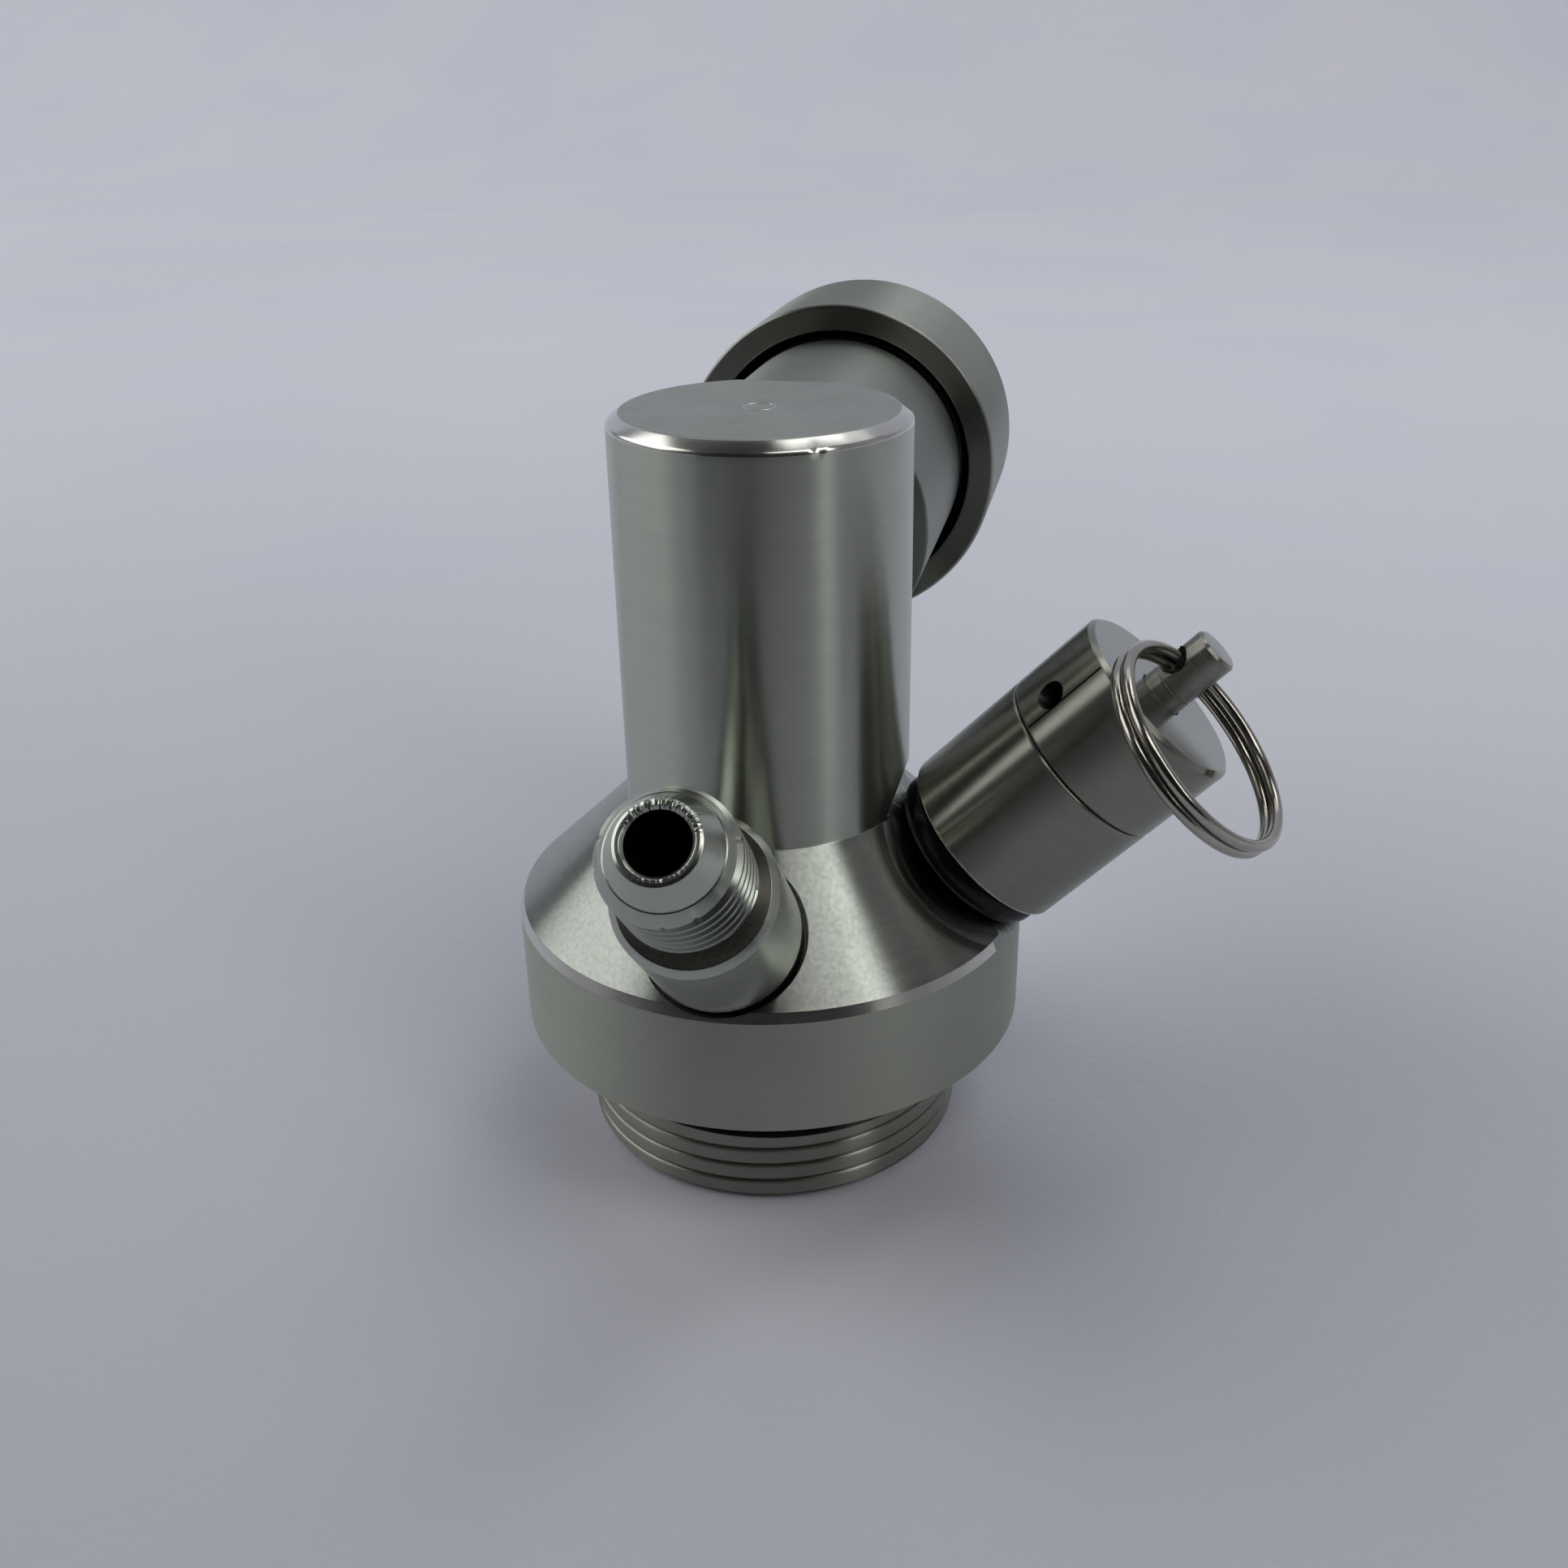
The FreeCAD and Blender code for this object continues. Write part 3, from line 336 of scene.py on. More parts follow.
class Shader:
    """The nodes of a material or world, with short calls for those used here."""

    def __init__(self, owner, surface="Principled BSDF"):
        owner.use_nodes = True
        self.owner = owner
        self.tree = owner.node_tree
        self.surface = self.tree.nodes[surface]

    def put(self, socket, value):
        if isinstance(value, bpy.types.NodeSocket):
            self.tree.links.new(value, socket)
        else:
            socket.default_value = value

    def node(self, kind, inputs=None, **settings):
        made = self.tree.nodes.new("ShaderNode" + kind)
        for key, value in settings.items():
            setattr(made, key, value)
        for socket, value in (inputs or {}).items():
            self.put(made.inputs[socket], value)
        return made

    def millimetres(self):
        return self.scaled(self.node("TexCoord").outputs["Object"], 1 / MM)

    def math(self, operation, a, b=0.0, clamp=False):
        return self.node("Math", {0: a, 1: b}, operation=operation, use_clamp=clamp).outputs[0]

    def vector(self, operation, a, b=(0, 0, 0)):
        made = self.node("VectorMath", {0: a, 1: b}, operation=operation)
        return made.outputs["Value" if operation in ("DOT_PRODUCT", "LENGTH") else "Vector"]

    def scaled(self, a, factor):
        made = self.node("VectorMath", {0: a}, operation="SCALE")
        self.put(made.inputs["Scale"], factor)
        return made.outputs["Vector"]

    def joined(self, x, y, z):
        return self.node("CombineXYZ", {0: x, 1: y, 2: z}).outputs[0]

    def noise(self, vector, scale, detail=2.0, roughness=0.5):
        return self.node("TexNoise", {
            "Vector": vector, "Scale": scale, "Detail": detail, "Roughness": roughness}).outputs["Fac"]

    def ramp(self, value, low, high, out_low=0.0, out_high=1.0):
        return self.node("MapRange", {
            "Value": value, "From Min": low, "From Max": high, "To Min": out_low, "To Max": out_high,
        }).outputs["Result"]

    def mix(self, factor, a, b, kind="RGBA"):
        made = self.node("Mix", {"Factor": factor}, data_type=kind)
        self.put(made.inputs["A"], a)
        self.put(made.inputs["B"], b)
        return made.outputs["Result"]

    def bump(self, height, strength, distance):
        return self.node("Bump", {
            "Height": height, "Strength": strength, "Distance": distance}).outputs["Normal"]

    def set(self, **inputs):
        for name, value in inputs.items():
            self.put(self.surface.inputs[name.replace("_", " ")], value)


def shader(name):
    return Shader(bpy.data.materials.new(name))


def tinted(colour, factor):
    """The colour times a factor, or one factor for each channel, with full opacity."""
    factors = factor if isinstance(factor, tuple) else (factor,) * 3
    return [min(1, c * f) for c, f in zip(colour, factors)] + [1]


SCRATCH_WAYS = ((20, 3.1), (-47, 9.4), (75, 17.2))      # (direction in degrees, seed)
STAIN = (0.80, 0.79, 0.75)                              # of the steel's own colour
# Colour of painted shade on steel
PAINTED_SHADE_TONE = (0.10, 0.10, 0.09, 1)


def turned_steel(name, place, colour, rough=0.3, uneven=0.02, stretch=0.7, groove=0.5, lines=3.0,
                 stains=0.03, scratches=0.0, pits=0.0, mottle=0.0, contrast=0.04, dark=None):
    """Steel with fine turning lines round an axis, and highlights drawn out across them.

    uneven varies the roughness from line to line, and stains in wide blots. groove is the depth of
    the bump, and scratches and pits add theirs to it. mottle darkens specks, and contrast sets the
    lines off. dark = (place, near, far) is painted shade: a dark band in the colour round another
    axis, which starts sharply at the near distance and has faded out at the far one.
    """
    s = shader(name)
    point = tuple(place.translation)
    axis = tuple(place.to_3x3() @ Vector((0, 0, 1)))
    at = s.vector("SUBTRACT", s.millimetres(), point)
    along = s.vector("DOT_PRODUCT", at, axis)
    radial = s.vector("SUBTRACT", at, s.scaled(axis, along))
    radius = s.vector("LENGTH", radial)
    around = s.vector("CROSS_PRODUCT", axis, radial)
    around_world = s.node("VectorTransform", {"Vector": around}, vector_type="VECTOR",
                          convert_from="OBJECT", convert_to="WORLD").outputs[0]
    normal = s.node("NewGeometry").outputs["Normal"]
    tangent = s.vector("NORMALIZE", s.vector("CROSS_PRODUCT", normal, around_world))

    # The lines follow height and radius, and wander a little on the way round
    wander = s.scaled(s.vector("NORMALIZE", radial), 0.0875)
    band = s.vector("ADD", s.joined(along, s.math("MULTIPLY", radius, 0.93), 0.0), wander)
    fine = s.noise(band, lines, 2.0, 0.5)
    wide = s.noise(band, lines * 0.3, 2.0, 0.5)
    shade = s.math("ADD", s.ramp(fine, 0.3, 0.7, -0.5, 0.5), s.ramp(wide, 0.3, 0.7, -0.5, 0.5))
    dull = s.ramp(s.noise(at, 0.16, 3.0, 0.55), 0.42, 0.68)
    specks = s.noise(at, 2.2, 2.0, 0.6)

    height = fine
    if scratches:
        for turn, seed in SCRATCH_WAYS:
            a = math.radians(turn)
            u = s.vector("DOT_PRODUCT", at, (math.cos(a), math.sin(a), 0.2))
            v = s.vector("DOT_PRODUCT", at, (-math.sin(a), math.cos(a), 0.1))
            drawn = s.joined(s.math("MULTIPLY", u, 0.22), s.math("MULTIPLY", v, 6.5), seed)
            line = s.ramp(s.noise(drawn, 1.0, 1.0), 0.66, 0.72)
            height = s.math("SUBTRACT", height, s.math("MULTIPLY", line, scratches))
    if pits:
        height = s.math("ADD", height, s.math("MULTIPLY", s.noise(at, 1.3, 2.0, 0.6), pits))

    tone = s.mix(s.ramp(shade, -1, 1), tinted(colour, 1 - contrast), tinted(colour, 1 + contrast))
    tone = s.mix(s.math("MULTIPLY", dull, stains * 3), tone, tinted(colour, STAIN))
    if mottle:
        speckled = s.math("MULTIPLY", s.ramp(specks, 0.40, 0.66), mottle)
        tone = s.mix(speckled, tone, tinted(colour, 0.45))
    # Painted shade: dark steel in a band round another axis, starting at near and gone by far
    if dark:
        branch, near, far = dark
        beside = s.vector("SUBTRACT", at, tuple(branch.translation))
        branch_axis = tuple(branch.to_3x3() @ Vector((0, 0, 1)))
        distance = s.vector("LENGTH", s.vector("CROSS_PRODUCT", beside, branch_axis))
        inside = s.ramp(distance, near - 0.12, near, 1.0, 0.0)
        plain = s.math("MAXIMUM", s.ramp(distance, near + 0.6, far), inside)
        tone = s.mix(plain, PAINTED_SHADE_TONE, tone)

    roughness = s.math("ADD", rough, s.math("MULTIPLY", shade, uneven))
    roughness = s.math("ADD", roughness, s.math("MULTIPLY", dull, stains))
    roughness = s.math("ADD", roughness, s.ramp(specks, 0.35, 0.65, -0.006, 0.008))
    s.set(Base_Color=tone, Metallic=1.0, Roughness=roughness, Anisotropic=stretch,
          Tangent=tangent, Normal=s.bump(height, groove, 0.00002))
    return s.owner


def polished_wire(name):
    s = shader(name)
    at = s.millimetres()
    fine = s.noise(at, 5.0, 4.0, 0.65)
    tone = s.mix(s.noise(at, 0.7, 2.0), (0.37, 0.345, 0.30, 1), (0.49, 0.47, 0.43, 1))
    s.set(Base_Color=tone, Metallic=1.0, Roughness=s.ramp(fine, 0.3, 0.7, 0.10, 0.17),
          Normal=s.bump(fine, 0.22, 0.00003))
    return s.owner


def rubber(name, colour, rough):
    s = shader(name)
    at = s.millimetres()
    grain = s.noise(at, 4.0, 4.0, 0.6)
    dust = s.ramp(s.noise(at, 0.8, 4.0, 0.7), 0.45, 0.8)
    dusty = [min(1, c * 1.5 + 0.006) for c in colour] + [1]
    s.set(Base_Color=s.mix(dust, tinted(colour, 1), dusty), Specular_IOR_Level=0.25,
          Roughness=s.ramp(grain, 0.3, 0.7, rough - 0.07, rough + 0.1),
          Normal=s.bump(grain, 0.12, 0.00004))
    return s.owner


def brass():
    s = shader("brass")
    grain = s.noise(s.millimetres(), 3.0, 4.0, 0.6)
    s.set(Base_Color=s.mix(grain, (0.62, 0.43, 0.16, 1), (0.80, 0.62, 0.30, 1)), Metallic=1.0,
          Roughness=s.ramp(grain, 0.3, 0.7, 0.25, 0.4), Normal=s.bump(grain, 0.3, 0.00003))
    return s.owner


RELIEF_RECESS = 10.0        # radius of the recess round the relief valve

head_steel = turned_steel(
    "head_steel", UPRIGHT, (0.460, 0.483, 0.427), rough=0.315, stretch=0.98, groove=0.25,
    pits=0.16, contrast=0.045)
# The cone has painted shade in a band round the relief valve's recess
cone_steel = turned_steel(
    "cone_steel", UPRIGHT, (0.315, 0.331, 0.306), rough=0.235, stretch=0.93, groove=0.15,
    pits=0.35, mottle=0.22, dark=(RELIEF, RELIEF_RECESS + 0.3, RELIEF_RECESS + 1.6))
collar_steel = turned_steel(
    "collar_steel", UPRIGHT, (0.404, 0.422, 0.366), rough=0.50, stretch=0.7, groove=0.2)
# A darker copy of the head's steel on the stub under the collar: painted shade
thread_shade_steel = turned_steel(
    "thread_shade_steel", UPRIGHT, (0.338, 0.340, 0.294), rough=0.34, stretch=0.98, groove=0.06)
# A lighter copy of the steel on chamfered edges: painted highlights
edge_highlight_steel = turned_steel(
    "edge_highlight_steel", UPRIGHT, (0.66, 0.66, 0.63), rough=0.20, uneven=0.01, stretch=0.8, groove=0.04,
    stains=0.01)
top_steel = turned_steel(
    "top_steel", UPRIGHT, (0.385, 0.410, 0.372), rough=0.40, stretch=0.35, groove=0.2, stains=0.08,
    scratches=0.35, contrast=0.07)
outlet_steel = turned_steel(
    "outlet_steel", OUTLET, (0.460, 0.482, 0.432), rough=0.23, stretch=0.6, groove=0.15)
undercut_steel = turned_steel(
    "undercut_steel", OUTLET, (0.24, 0.225, 0.20), rough=0.26, stretch=0.8, groove=0.15)
valve_steel = turned_steel(
    "valve_steel", RELIEF, (0.272, 0.276, 0.238), rough=0.285, stretch=0.96, groove=0.15,
    contrast=0.06)
face_steel = turned_steel(
    "face_steel", RELIEF, (0.405, 0.420, 0.390), rough=0.25, stretch=0.3, groove=0.05, stains=0.01)
barrel_steel = turned_steel(
    "barrel_steel", BARREL, (0.318, 0.341, 0.318), rough=0.40, stretch=0.8, groove=0.15)
knob_steel = turned_steel(
    "knob_steel", BARREL, (0.370, 0.389, 0.355), rough=0.38, stretch=0.9, groove=0.2)
# A darker copy of the knob's steel on its front ring, which faces the dark front: painted shade
mouth_shade_steel = turned_steel(
    "mouth_shade_steel", BARREL, (0.266, 0.267, 0.235), rough=0.29, stretch=0.92, groove=0.1)
stem_steel = turned_steel(
    "stem_steel", RELIEF, (0.31, 0.305, 0.275), rough=0.36, uneven=0.06, stretch=0.8, groove=0.9,
    lines=6.5, contrast=0.22)
# Near-black painted shade for the insides of holes and bores, where no light reaches; the stem's burrs take
# it too
painted_shade_steel = turned_steel(
    "painted_shade_steel", OUTLET, (0.015, 0.015, 0.014), rough=0.55, stretch=0.2, groove=0.3)
inner_steel = turned_steel(
    "inner_steel", BARREL, (0.62, 0.62, 0.60), rough=0.3, stretch=0.5, groove=0.6)
ring_steel = polished_wire("ring_steel")
spring_wire = polished_wire("spring_wire")
black_rubber = rubber("black_rubber", (0.003, 0.003, 0.0032), 0.30)
clear_rubber = rubber("clear_rubber", (0.42, 0.42, 0.38), 0.4)
brass_metal = brass()


def finish_piece(piece, body, nodes, material):
    """Gives the piece its material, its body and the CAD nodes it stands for."""
    piece.data.materials.clear()
    piece.data.materials.append(material)
    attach(piece, body)
    if nodes:
        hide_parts(*nodes)


def paint(piece, place, materials, choose):
    """Other materials for some faces.

    choose gets a face's distance from the frame's Z axis, its height along it, how far it faces
    that way (1 to -1) and its centre, and gives one of the materials, or None.
    """
    into = place.inverted()
    out = place.to_3x3() @ Vector((0, 0, 1))
    for material in materials:
        piece.data.materials.append(material)
    for face in piece.data.polygons:
        local = into @ (face.center / MM)
        chosen = choose(math.hypot(local.x, local.y), local.z, face.normal.dot(out), face.center)
        if chosen:
            face.material_index = 1 + materials.index(chosen)


def add_seal(name, node, bore_diameter, section, middle, place, segments=FINE):
    seal = torus(name, bore_diameter, section, middle, place, segments)
    finish_piece(seal, "housing", [node], black_rubber)


# ---------------------------------------------------------------- head

STUB_RADIUS, STUB_TOP, STUB_PITCH = 18.0, 7.1, 1.75
STUB_FOOT_RADIUS = 16.9
LEAD_IN_RADIUS = 17.2       # at the foot, from where the lead-in widens as it rises
SEAL_SEAT_RADIUS = 13.88
COLLAR_RADIUS, COLLAR_FOOT, COLLAR_SHOULDER = 23.75, 12.2, 23.1
CONE_RADIUS, CONE_FOOT, CONE_TOP = 23.35, 24.0, 33.75
COLUMN_RADIUS, COLUMN_TOP = 13.0, 68.8
COLUMN_EDGE = 67.95         # where the rounded edge starts
FLAT, FLAT_FOOT = 10.7, 41.8
OUTLET_RECESS, OUTLET_SEAT = 7.2, 25.2
RELIEF_SEAT = 26.1

# Wide rounded crests and narrow roots, as (height, depth) over one pitch
KEG_THREAD = rounded([
    (0, 0.0), (0.42, 0.015, 0.5), (0.66, 0.06, 0.3), (0.76, 0.18, 0.1), (0.82, 0.50, 0.02),
    (0.93, 0.50, 0.02), (0.99, 0.18, 0.1), (1.09, 0.06, 0.3), (1.33, 0.015, 0.5), (1.75, 0.0)], 0.05, 2)[:-1]

NICK_PLACE = (7.1, -10.6)
NICK_FOOT, NICK_TOP = 67.2, 68.6
NICK_DEPTH = 0.22
NICK_REACH, NICK_FADE = 0.55, 0.8           # where it has faded out sideways, and up or down


def edge_nick(p):
    """The nick in the column's upper edge."""
    away = math.hypot(p.x - NICK_PLACE[0], p.y - NICK_PLACE[1])
    if away < NICK_REACH and NICK_FOOT < p.z < NICK_TOP:
        deep = NICK_DEPTH * (1 - away / NICK_REACH) * (1 - abs(p.z - COLUMN_EDGE) / NICK_FADE)
        return p - Vector((p.x, p.y, 0)).normalized() * deep
    return p


def head_material(radius, height, facing, centre):
    if height > COLUMN_TOP - 0.1 and facing > 0.9:
        return top_steel
    # The column's upper edge takes the lighter copy: painted highlight
    if height > COLUMN_EDGE - 0.3:
        return edge_highlight_steel
    # The collar's chamfered shoulder takes the lighter copy: painted highlight
    if COLLAR_SHOULDER + 0.02 < height < CONE_FOOT - 0.02 and radius > CONE_RADIUS - 0.05:
        if distance_from(RELIEF, centre) > RELIEF_RECESS + 0.05:
            return edge_highlight_steel
    if COLLAR_SHOULDER + 0.02 < height < CONE_TOP - 0.05 and radius > COLUMN_RADIUS - 0.05:
        return cone_steel
    if COLLAR_FOOT < height < COLLAR_SHOULDER + 0.1 and radius > COLLAR_RADIUS - 0.25:
        return collar_steel
    # The threaded stub takes the darker copy: painted shade
    if height < STUB_TOP + 0.05 and radius > STUB_FOOT_RADIUS:
        return thread_shade_steel
    return None


def make_head():
    foot = even_rows([(0, 0), (STUB_FOOT_RADIUS, 0)], FINE)
    stub = thread_rows(
        0, STUB_TOP, STUB_RADIUS, STUB_PITCH, KEG_THREAD, FINE, lambda height: LEAD_IN_RADIUS + height)
    upper = rounded([
        (STUB_RADIUS, STUB_TOP), (SEAL_SEAT_RADIUS, STUB_TOP, 0), (SEAL_SEAT_RADIUS, COLLAR_FOOT, 0.15),
        (COLLAR_RADIUS, COLLAR_FOOT, 0.2), (COLLAR_RADIUS, COLLAR_SHOULDER, 0.1),
        (CONE_RADIUS, CONE_FOOT, 0.12), (COLUMN_RADIUS, CONE_TOP, 0.25),
        (COLUMN_RADIUS, 67.1, 0),       # a row that keeps the nick from creasing the whole column
        (COLUMN_RADIUS, COLUMN_EDGE, 0.55), (11.8, COLUMN_TOP, 0.7),
        # The small ring that the lathe left in the middle of the top
        (1.42, COLUMN_TOP, 0.03), (1.36, 68.75, 0.03), (1.28, COLUMN_TOP, 0.03), (0, COLUMN_TOP)], 0.12)
    rows = foot + stub + even_rows(upper[1:], FINE)
    head = add_object("head_shell", swept_mesh("head_shell", rows, UPRIGHT, dent=edge_nick))
    carve(head, [
        box_cutter((-20, FLAT, FLAT_FOOT), (20, 20, 80)),
        bore(OUTLET_RECESS, OUTLET_SEAT, 34, OUTLET, FINE),
        bore(4.87, 17.2, 26.0, OUTLET),                             # outlet's thread
        bore(2.5, 6.0, 18.0, OUTLET, HOLE),                         # beer passage
        bore(RELIEF_RECESS, RELIEF_SEAT, 36, RELIEF, FINE),
        bore(5.17, 20.3, 27.0, RELIEF),                             # relief valve's thread
        stepped_bore([                                              # dip tube's socket and seal
            (0, -1), (4.25, -1), (4.25, 0), (4.0, 0.25), (4.0, 6.5), (5.72, 6.5), (5.72, 8.24),
            (4.0, 8.24), (4.0, 11), (2.5, 11), (2.5, 16), (0, 16)], UPRIGHT),
        bore(1.5, -1, 22, Matrix.Translation((10.8, 0, 0)), PASSAGE),
        stepped_bore([                                              # check valve and gas passage
            (0, -1), (2.5, -1), (2.5, 5), (1.3, 5), (1.3, 48.8), (0, 48.8)],
            Matrix.Translation((0, 8.2, 0)), PASSAGE),
        bore(5.52, 2.9, 11.7, BARREL),                              # regulator's spigot
    ])
    smooth(head)
    finish_piece(head, "housing", ["head_body"], head_steel)
    paint(head, UPRIGHT, [top_steel, edge_highlight_steel, cone_steel, collar_steel, thread_shade_steel], head_material)


make_head()
add_seal("neck_ring", "neck_seal_ring", 27.8, 5.0, 9.7, UPRIGHT)
add_seal("dip_ring", "dip_tube_seal", 8.02, 1.7, 7.37, UPRIGHT, SMALL)


# ---------------------------------------------------------------- outlet

FLARE_FOOT, FLARE_TOP = 40.43, 47.97        # the hose thread's ends
FLARE_RADIUS, FLARE_PITCH = 5.555, 1.27
FLARE_START, FLARE_END = 5.3, 4.66          # radii where its two chamfers begin and end
NOSE_FOOT = 48.42
OUTLET_BORE = 2.5
LIP = 50.7

FLARE_THREAD = rounded([
    (0, 0.0), (0.16, 0.0), (0.53, 0.62), (0.69, 0.62), (1.06, 0.0), (1.27, 0.0)], 0.05, 3)[:-1]

# Dents in the thread's crest next to the mouth, as (angle in degrees, depth)
NOTCHES = ((-84, 0.17), (-57, 0.14), (171, 0.2), (196, 0.13), (20, 0.1), (118, 0.15))
NOTCH_REACH = 3.2                           # degrees
TEETH = 42                                  # nicks in a full turn of the mouth


def outlet_nicks(p):
    """Radial nicks round the mouth, longest on its upper side, and dents in the crest next to it."""
    r, a = math.hypot(p.x, p.y), math.atan2(p.y, p.x)
    if p.z > 49.6 and 2.55 < r < 4.2:
        wander = noise.noise(Vector((math.cos(a) * 5, math.sin(a) * 5, 2.0)))
        teeth = max(0, math.sin(a * TEETH + 3 * wander)) ** 2 * (0.8 + 0.7 * wander)
        upper = max(0, math.sin(a + 0.1) - 0.25) / 0.75
        lower = max(0, -math.sin(a - 0.3) - 0.4) / 0.6
        reach = 0.3 + 0.9 * upper + 0.3 * lower
        near = 1 - min(1, max(0, r - 2.8) / reach)
        return Vector((p.x, p.y, p.z - (0.24 * upper + 0.05 * lower) * teeth * near))
    if 46.9 < p.z < 47.9 and r > 4.9:
        for place, deep in NOTCHES:
            away = abs((math.degrees(a) - place + 180) % 360 - 180)
            if away < NOTCH_REACH:
                share = (1 - away / NOTCH_REACH) * deep / r
                return Vector((p.x * (1 - share), p.y * (1 - share), p.z + 0.3 * deep))
    return p


def flare_limit(height):
    """The chamfers at both ends of the hose thread."""
    return min(FLARE_START + (height - FLARE_FOOT) * 1.4, FLARE_END + (NOSE_FOOT - height) * 0.95)


def outlet_material(radius, height, facing, centre):
    # The bore's inside is painted shade
    if radius < OUTLET_BORE + 0.06 and height > 17.5:
        return painted_shade_steel
    if 38.85 < height < 40.6 and 2.6 < radius < 6.3:
        return undercut_steel
    return None


def make_outlet():
    lower = rounded([
        (0, 17.25), (4.85, 17.25, 0.2), (4.85, 27.1, 0.05), (6.85, 27.1, 0.12), (6.85, 38.3, 0.12),
        (6.25, 38.9, 0.15), (4.705, 38.9, 0.1), (4.705, 40.0, 0.1), (5.2, 40.42, 0.05),
        (FLARE_START, FLARE_FOOT)], 0.1)
    thread = thread_rows(
        FLARE_FOOT, FLARE_TOP, FLARE_RADIUS, FLARE_PITCH, FLARE_THREAD, FINE, flare_limit)
    nose = rounded([
        (flare_limit(FLARE_TOP), FLARE_TOP), (FLARE_END, NOSE_FOOT, 0.04), (4.55, 48.44, 0.03),
        (4.52, 48.56, 0.04), (4.1, 49.3, 0), (3.8, 49.83, 0), (3.55, 50.27, 0), (3.37, 50.58, 0.12),
        (3.1, LIP, 0.12), (2.8, LIP, 0.12), (OUTLET_BORE, 50.4, 0.12), (OUTLET_BORE, 17.25)], 0.08, 4)
    rows = even_rows(lower, FINE) + thread + even_rows(nose, FINE)
    fitting = add_object("outlet_shell", swept_mesh("outlet_shell", rows, OUTLET, dent=outlet_nicks))
    smooth(fitting)
    finish_piece(fitting, "housing", ["outlet_fitting"], outlet_steel)
    paint(fitting, OUTLET, [painted_shade_steel, undercut_steel], outlet_material)


make_outlet()
add_seal("outlet_ring", "outlet_seal_ring", 9.72, 1.9, 26.15, OUTLET)


# ---------------------------------------------------------------- relief valve

VALVE_RADIUS, VALVE_FOOT, VALVE_JOINT = 8.7, 29.1, 41.1
JOINT_CHAMFER = 0.3
CAP_FOOT, CAP_CEILING, CAP_TOP = 41.18, 47.6, 50.0
VALVE_BORE = 6.0
VENT_RADIUS = 1.3
STEM_RADIUS, STEM_END = 2.1, 56.2
STEM_HOLE = 1.35

# Z along the vent
VENT = (RELIEF @ Matrix.Translation((0, 0, 44.5)) @ Matrix.Rotation(math.radians(122), 4, "Z")
        @ Matrix.Rotation(math.radians(90), 4, "Y"))
# The stem's cross hole, which the ring swings in: X along the hole, Z along the stem
HINGE = RELIEF @ Matrix.Translation((0, 0, 53.05)) @ Matrix.Rotation(math.radians(108), 4, "Z")


def housing_material(radius, height, facing, centre):
    # The valve's foot edge takes the lighter copy: painted highlight
    at_foot = radius > VALVE_RADIUS - 0.2 and height < VALVE_FOOT + 0.3
    return edge_highlight_steel if at_foot else None


def cap_material(radius, height, facing, centre):
    # The vent's and the cap's insides are painted shade
    if distance_from(VENT, centre) < VENT_RADIUS - 0.005:
        return painted_shade_steel
    if radius < VALVE_BORE + 0.05 and height < CAP_CEILING + 0.1:
        return painted_shade_steel
    return face_steel if height > CAP_TOP - 0.1 else None


def make_relief_valve():
    housing = lathe("relief_lower", [
        (1.5, 20.3, 0), (5.15, 20.3, 0.2), (5.15, VALVE_FOOT, 0.05), (VALVE_RADIUS, VALVE_FOOT, 0.25),
        (VALVE_RADIUS, VALVE_JOINT, JOINT_CHAMFER), (7.0, VALVE_JOINT, 0), (7.0, 43.2, 0.1),
        (VALVE_BORE, 43.2, 0.1), (VALVE_BORE, 32.0, 0), (1.5, 32.0, 0)], RELIEF, 0.1, FINE, closed=True)
    smooth(housing)
    finish_piece(housing, "housing", ["relief_housing"], valve_steel)
    paint(housing, RELIEF, [edge_highlight_steel], housing_material)
    add_seal("relief_ring", "relief_seal_ring", 10.32, 3.0, 27.6, RELIEF)
    cap = lathe("relief_upper", [
        (7.02, CAP_FOOT, 0), (VALVE_RADIUS, CAP_FOOT, JOINT_CHAMFER), (VALVE_RADIUS, 49.6, 0.2),
        (8.2, CAP_TOP, 0.15), (2.2, CAP_TOP, 0.1), (2.2, CAP_CEILING, 0), (VALVE_BORE, CAP_CEILING, 0),
        (VALVE_BORE, 43.3, 0), (7.02, 43.3, 0)], RELIEF, 0.1, FINE, closed=True)
    carve(cap, [bore(VENT_RADIUS, 4, 12, VENT, HOLE)])
    smooth(cap)
    finish_piece(cap, "housing", ["relief_cap"], valve_steel)
    paint(cap, RELIEF, [painted_shade_steel, face_steel], cap_material)


def stem_material(radius, height, facing, centre):
    return face_steel if height > STEM_END - 0.05 else None


def make_stem():
    stem = lathe("pull_stem", [
        (0, 34.2), (5.0, 34.2, 0.15), (5.0, 36.0, 0.15), (STEM_RADIUS, 36.0, 0.1),
        (STEM_RADIUS, 51.30, 0.02), (2.02, 51.34, 0.02), (2.02, 51.44, 0.02), (STEM_RADIUS, 51.48, 0.02),
        (STEM_RADIUS, 55.92, 0.06), (1.84, STEM_END, 0.06), (0, STEM_END)], RELIEF, 0.1)
    across = HINGE @ Matrix.Rotation(math.radians(90), 4, "Y")
    carve(stem, [bore(STEM_HOLE, -6, 6, across, HOLE)])
    smooth(stem)
    finish_piece(stem, "relief_valve", ["relief_stem"], stem_steel)
    paint(stem, RELIEF, [face_steel], stem_material)


# A burr's three feet round the hole, as (turn in radians, distance from its axis, way out)
BURR_FEET = ((-0.16, 1.30, -0.05), (0.16, 1.30, -0.05), (0.05, 1.42, 0.02))
BURRS = 9                   # at each mouth


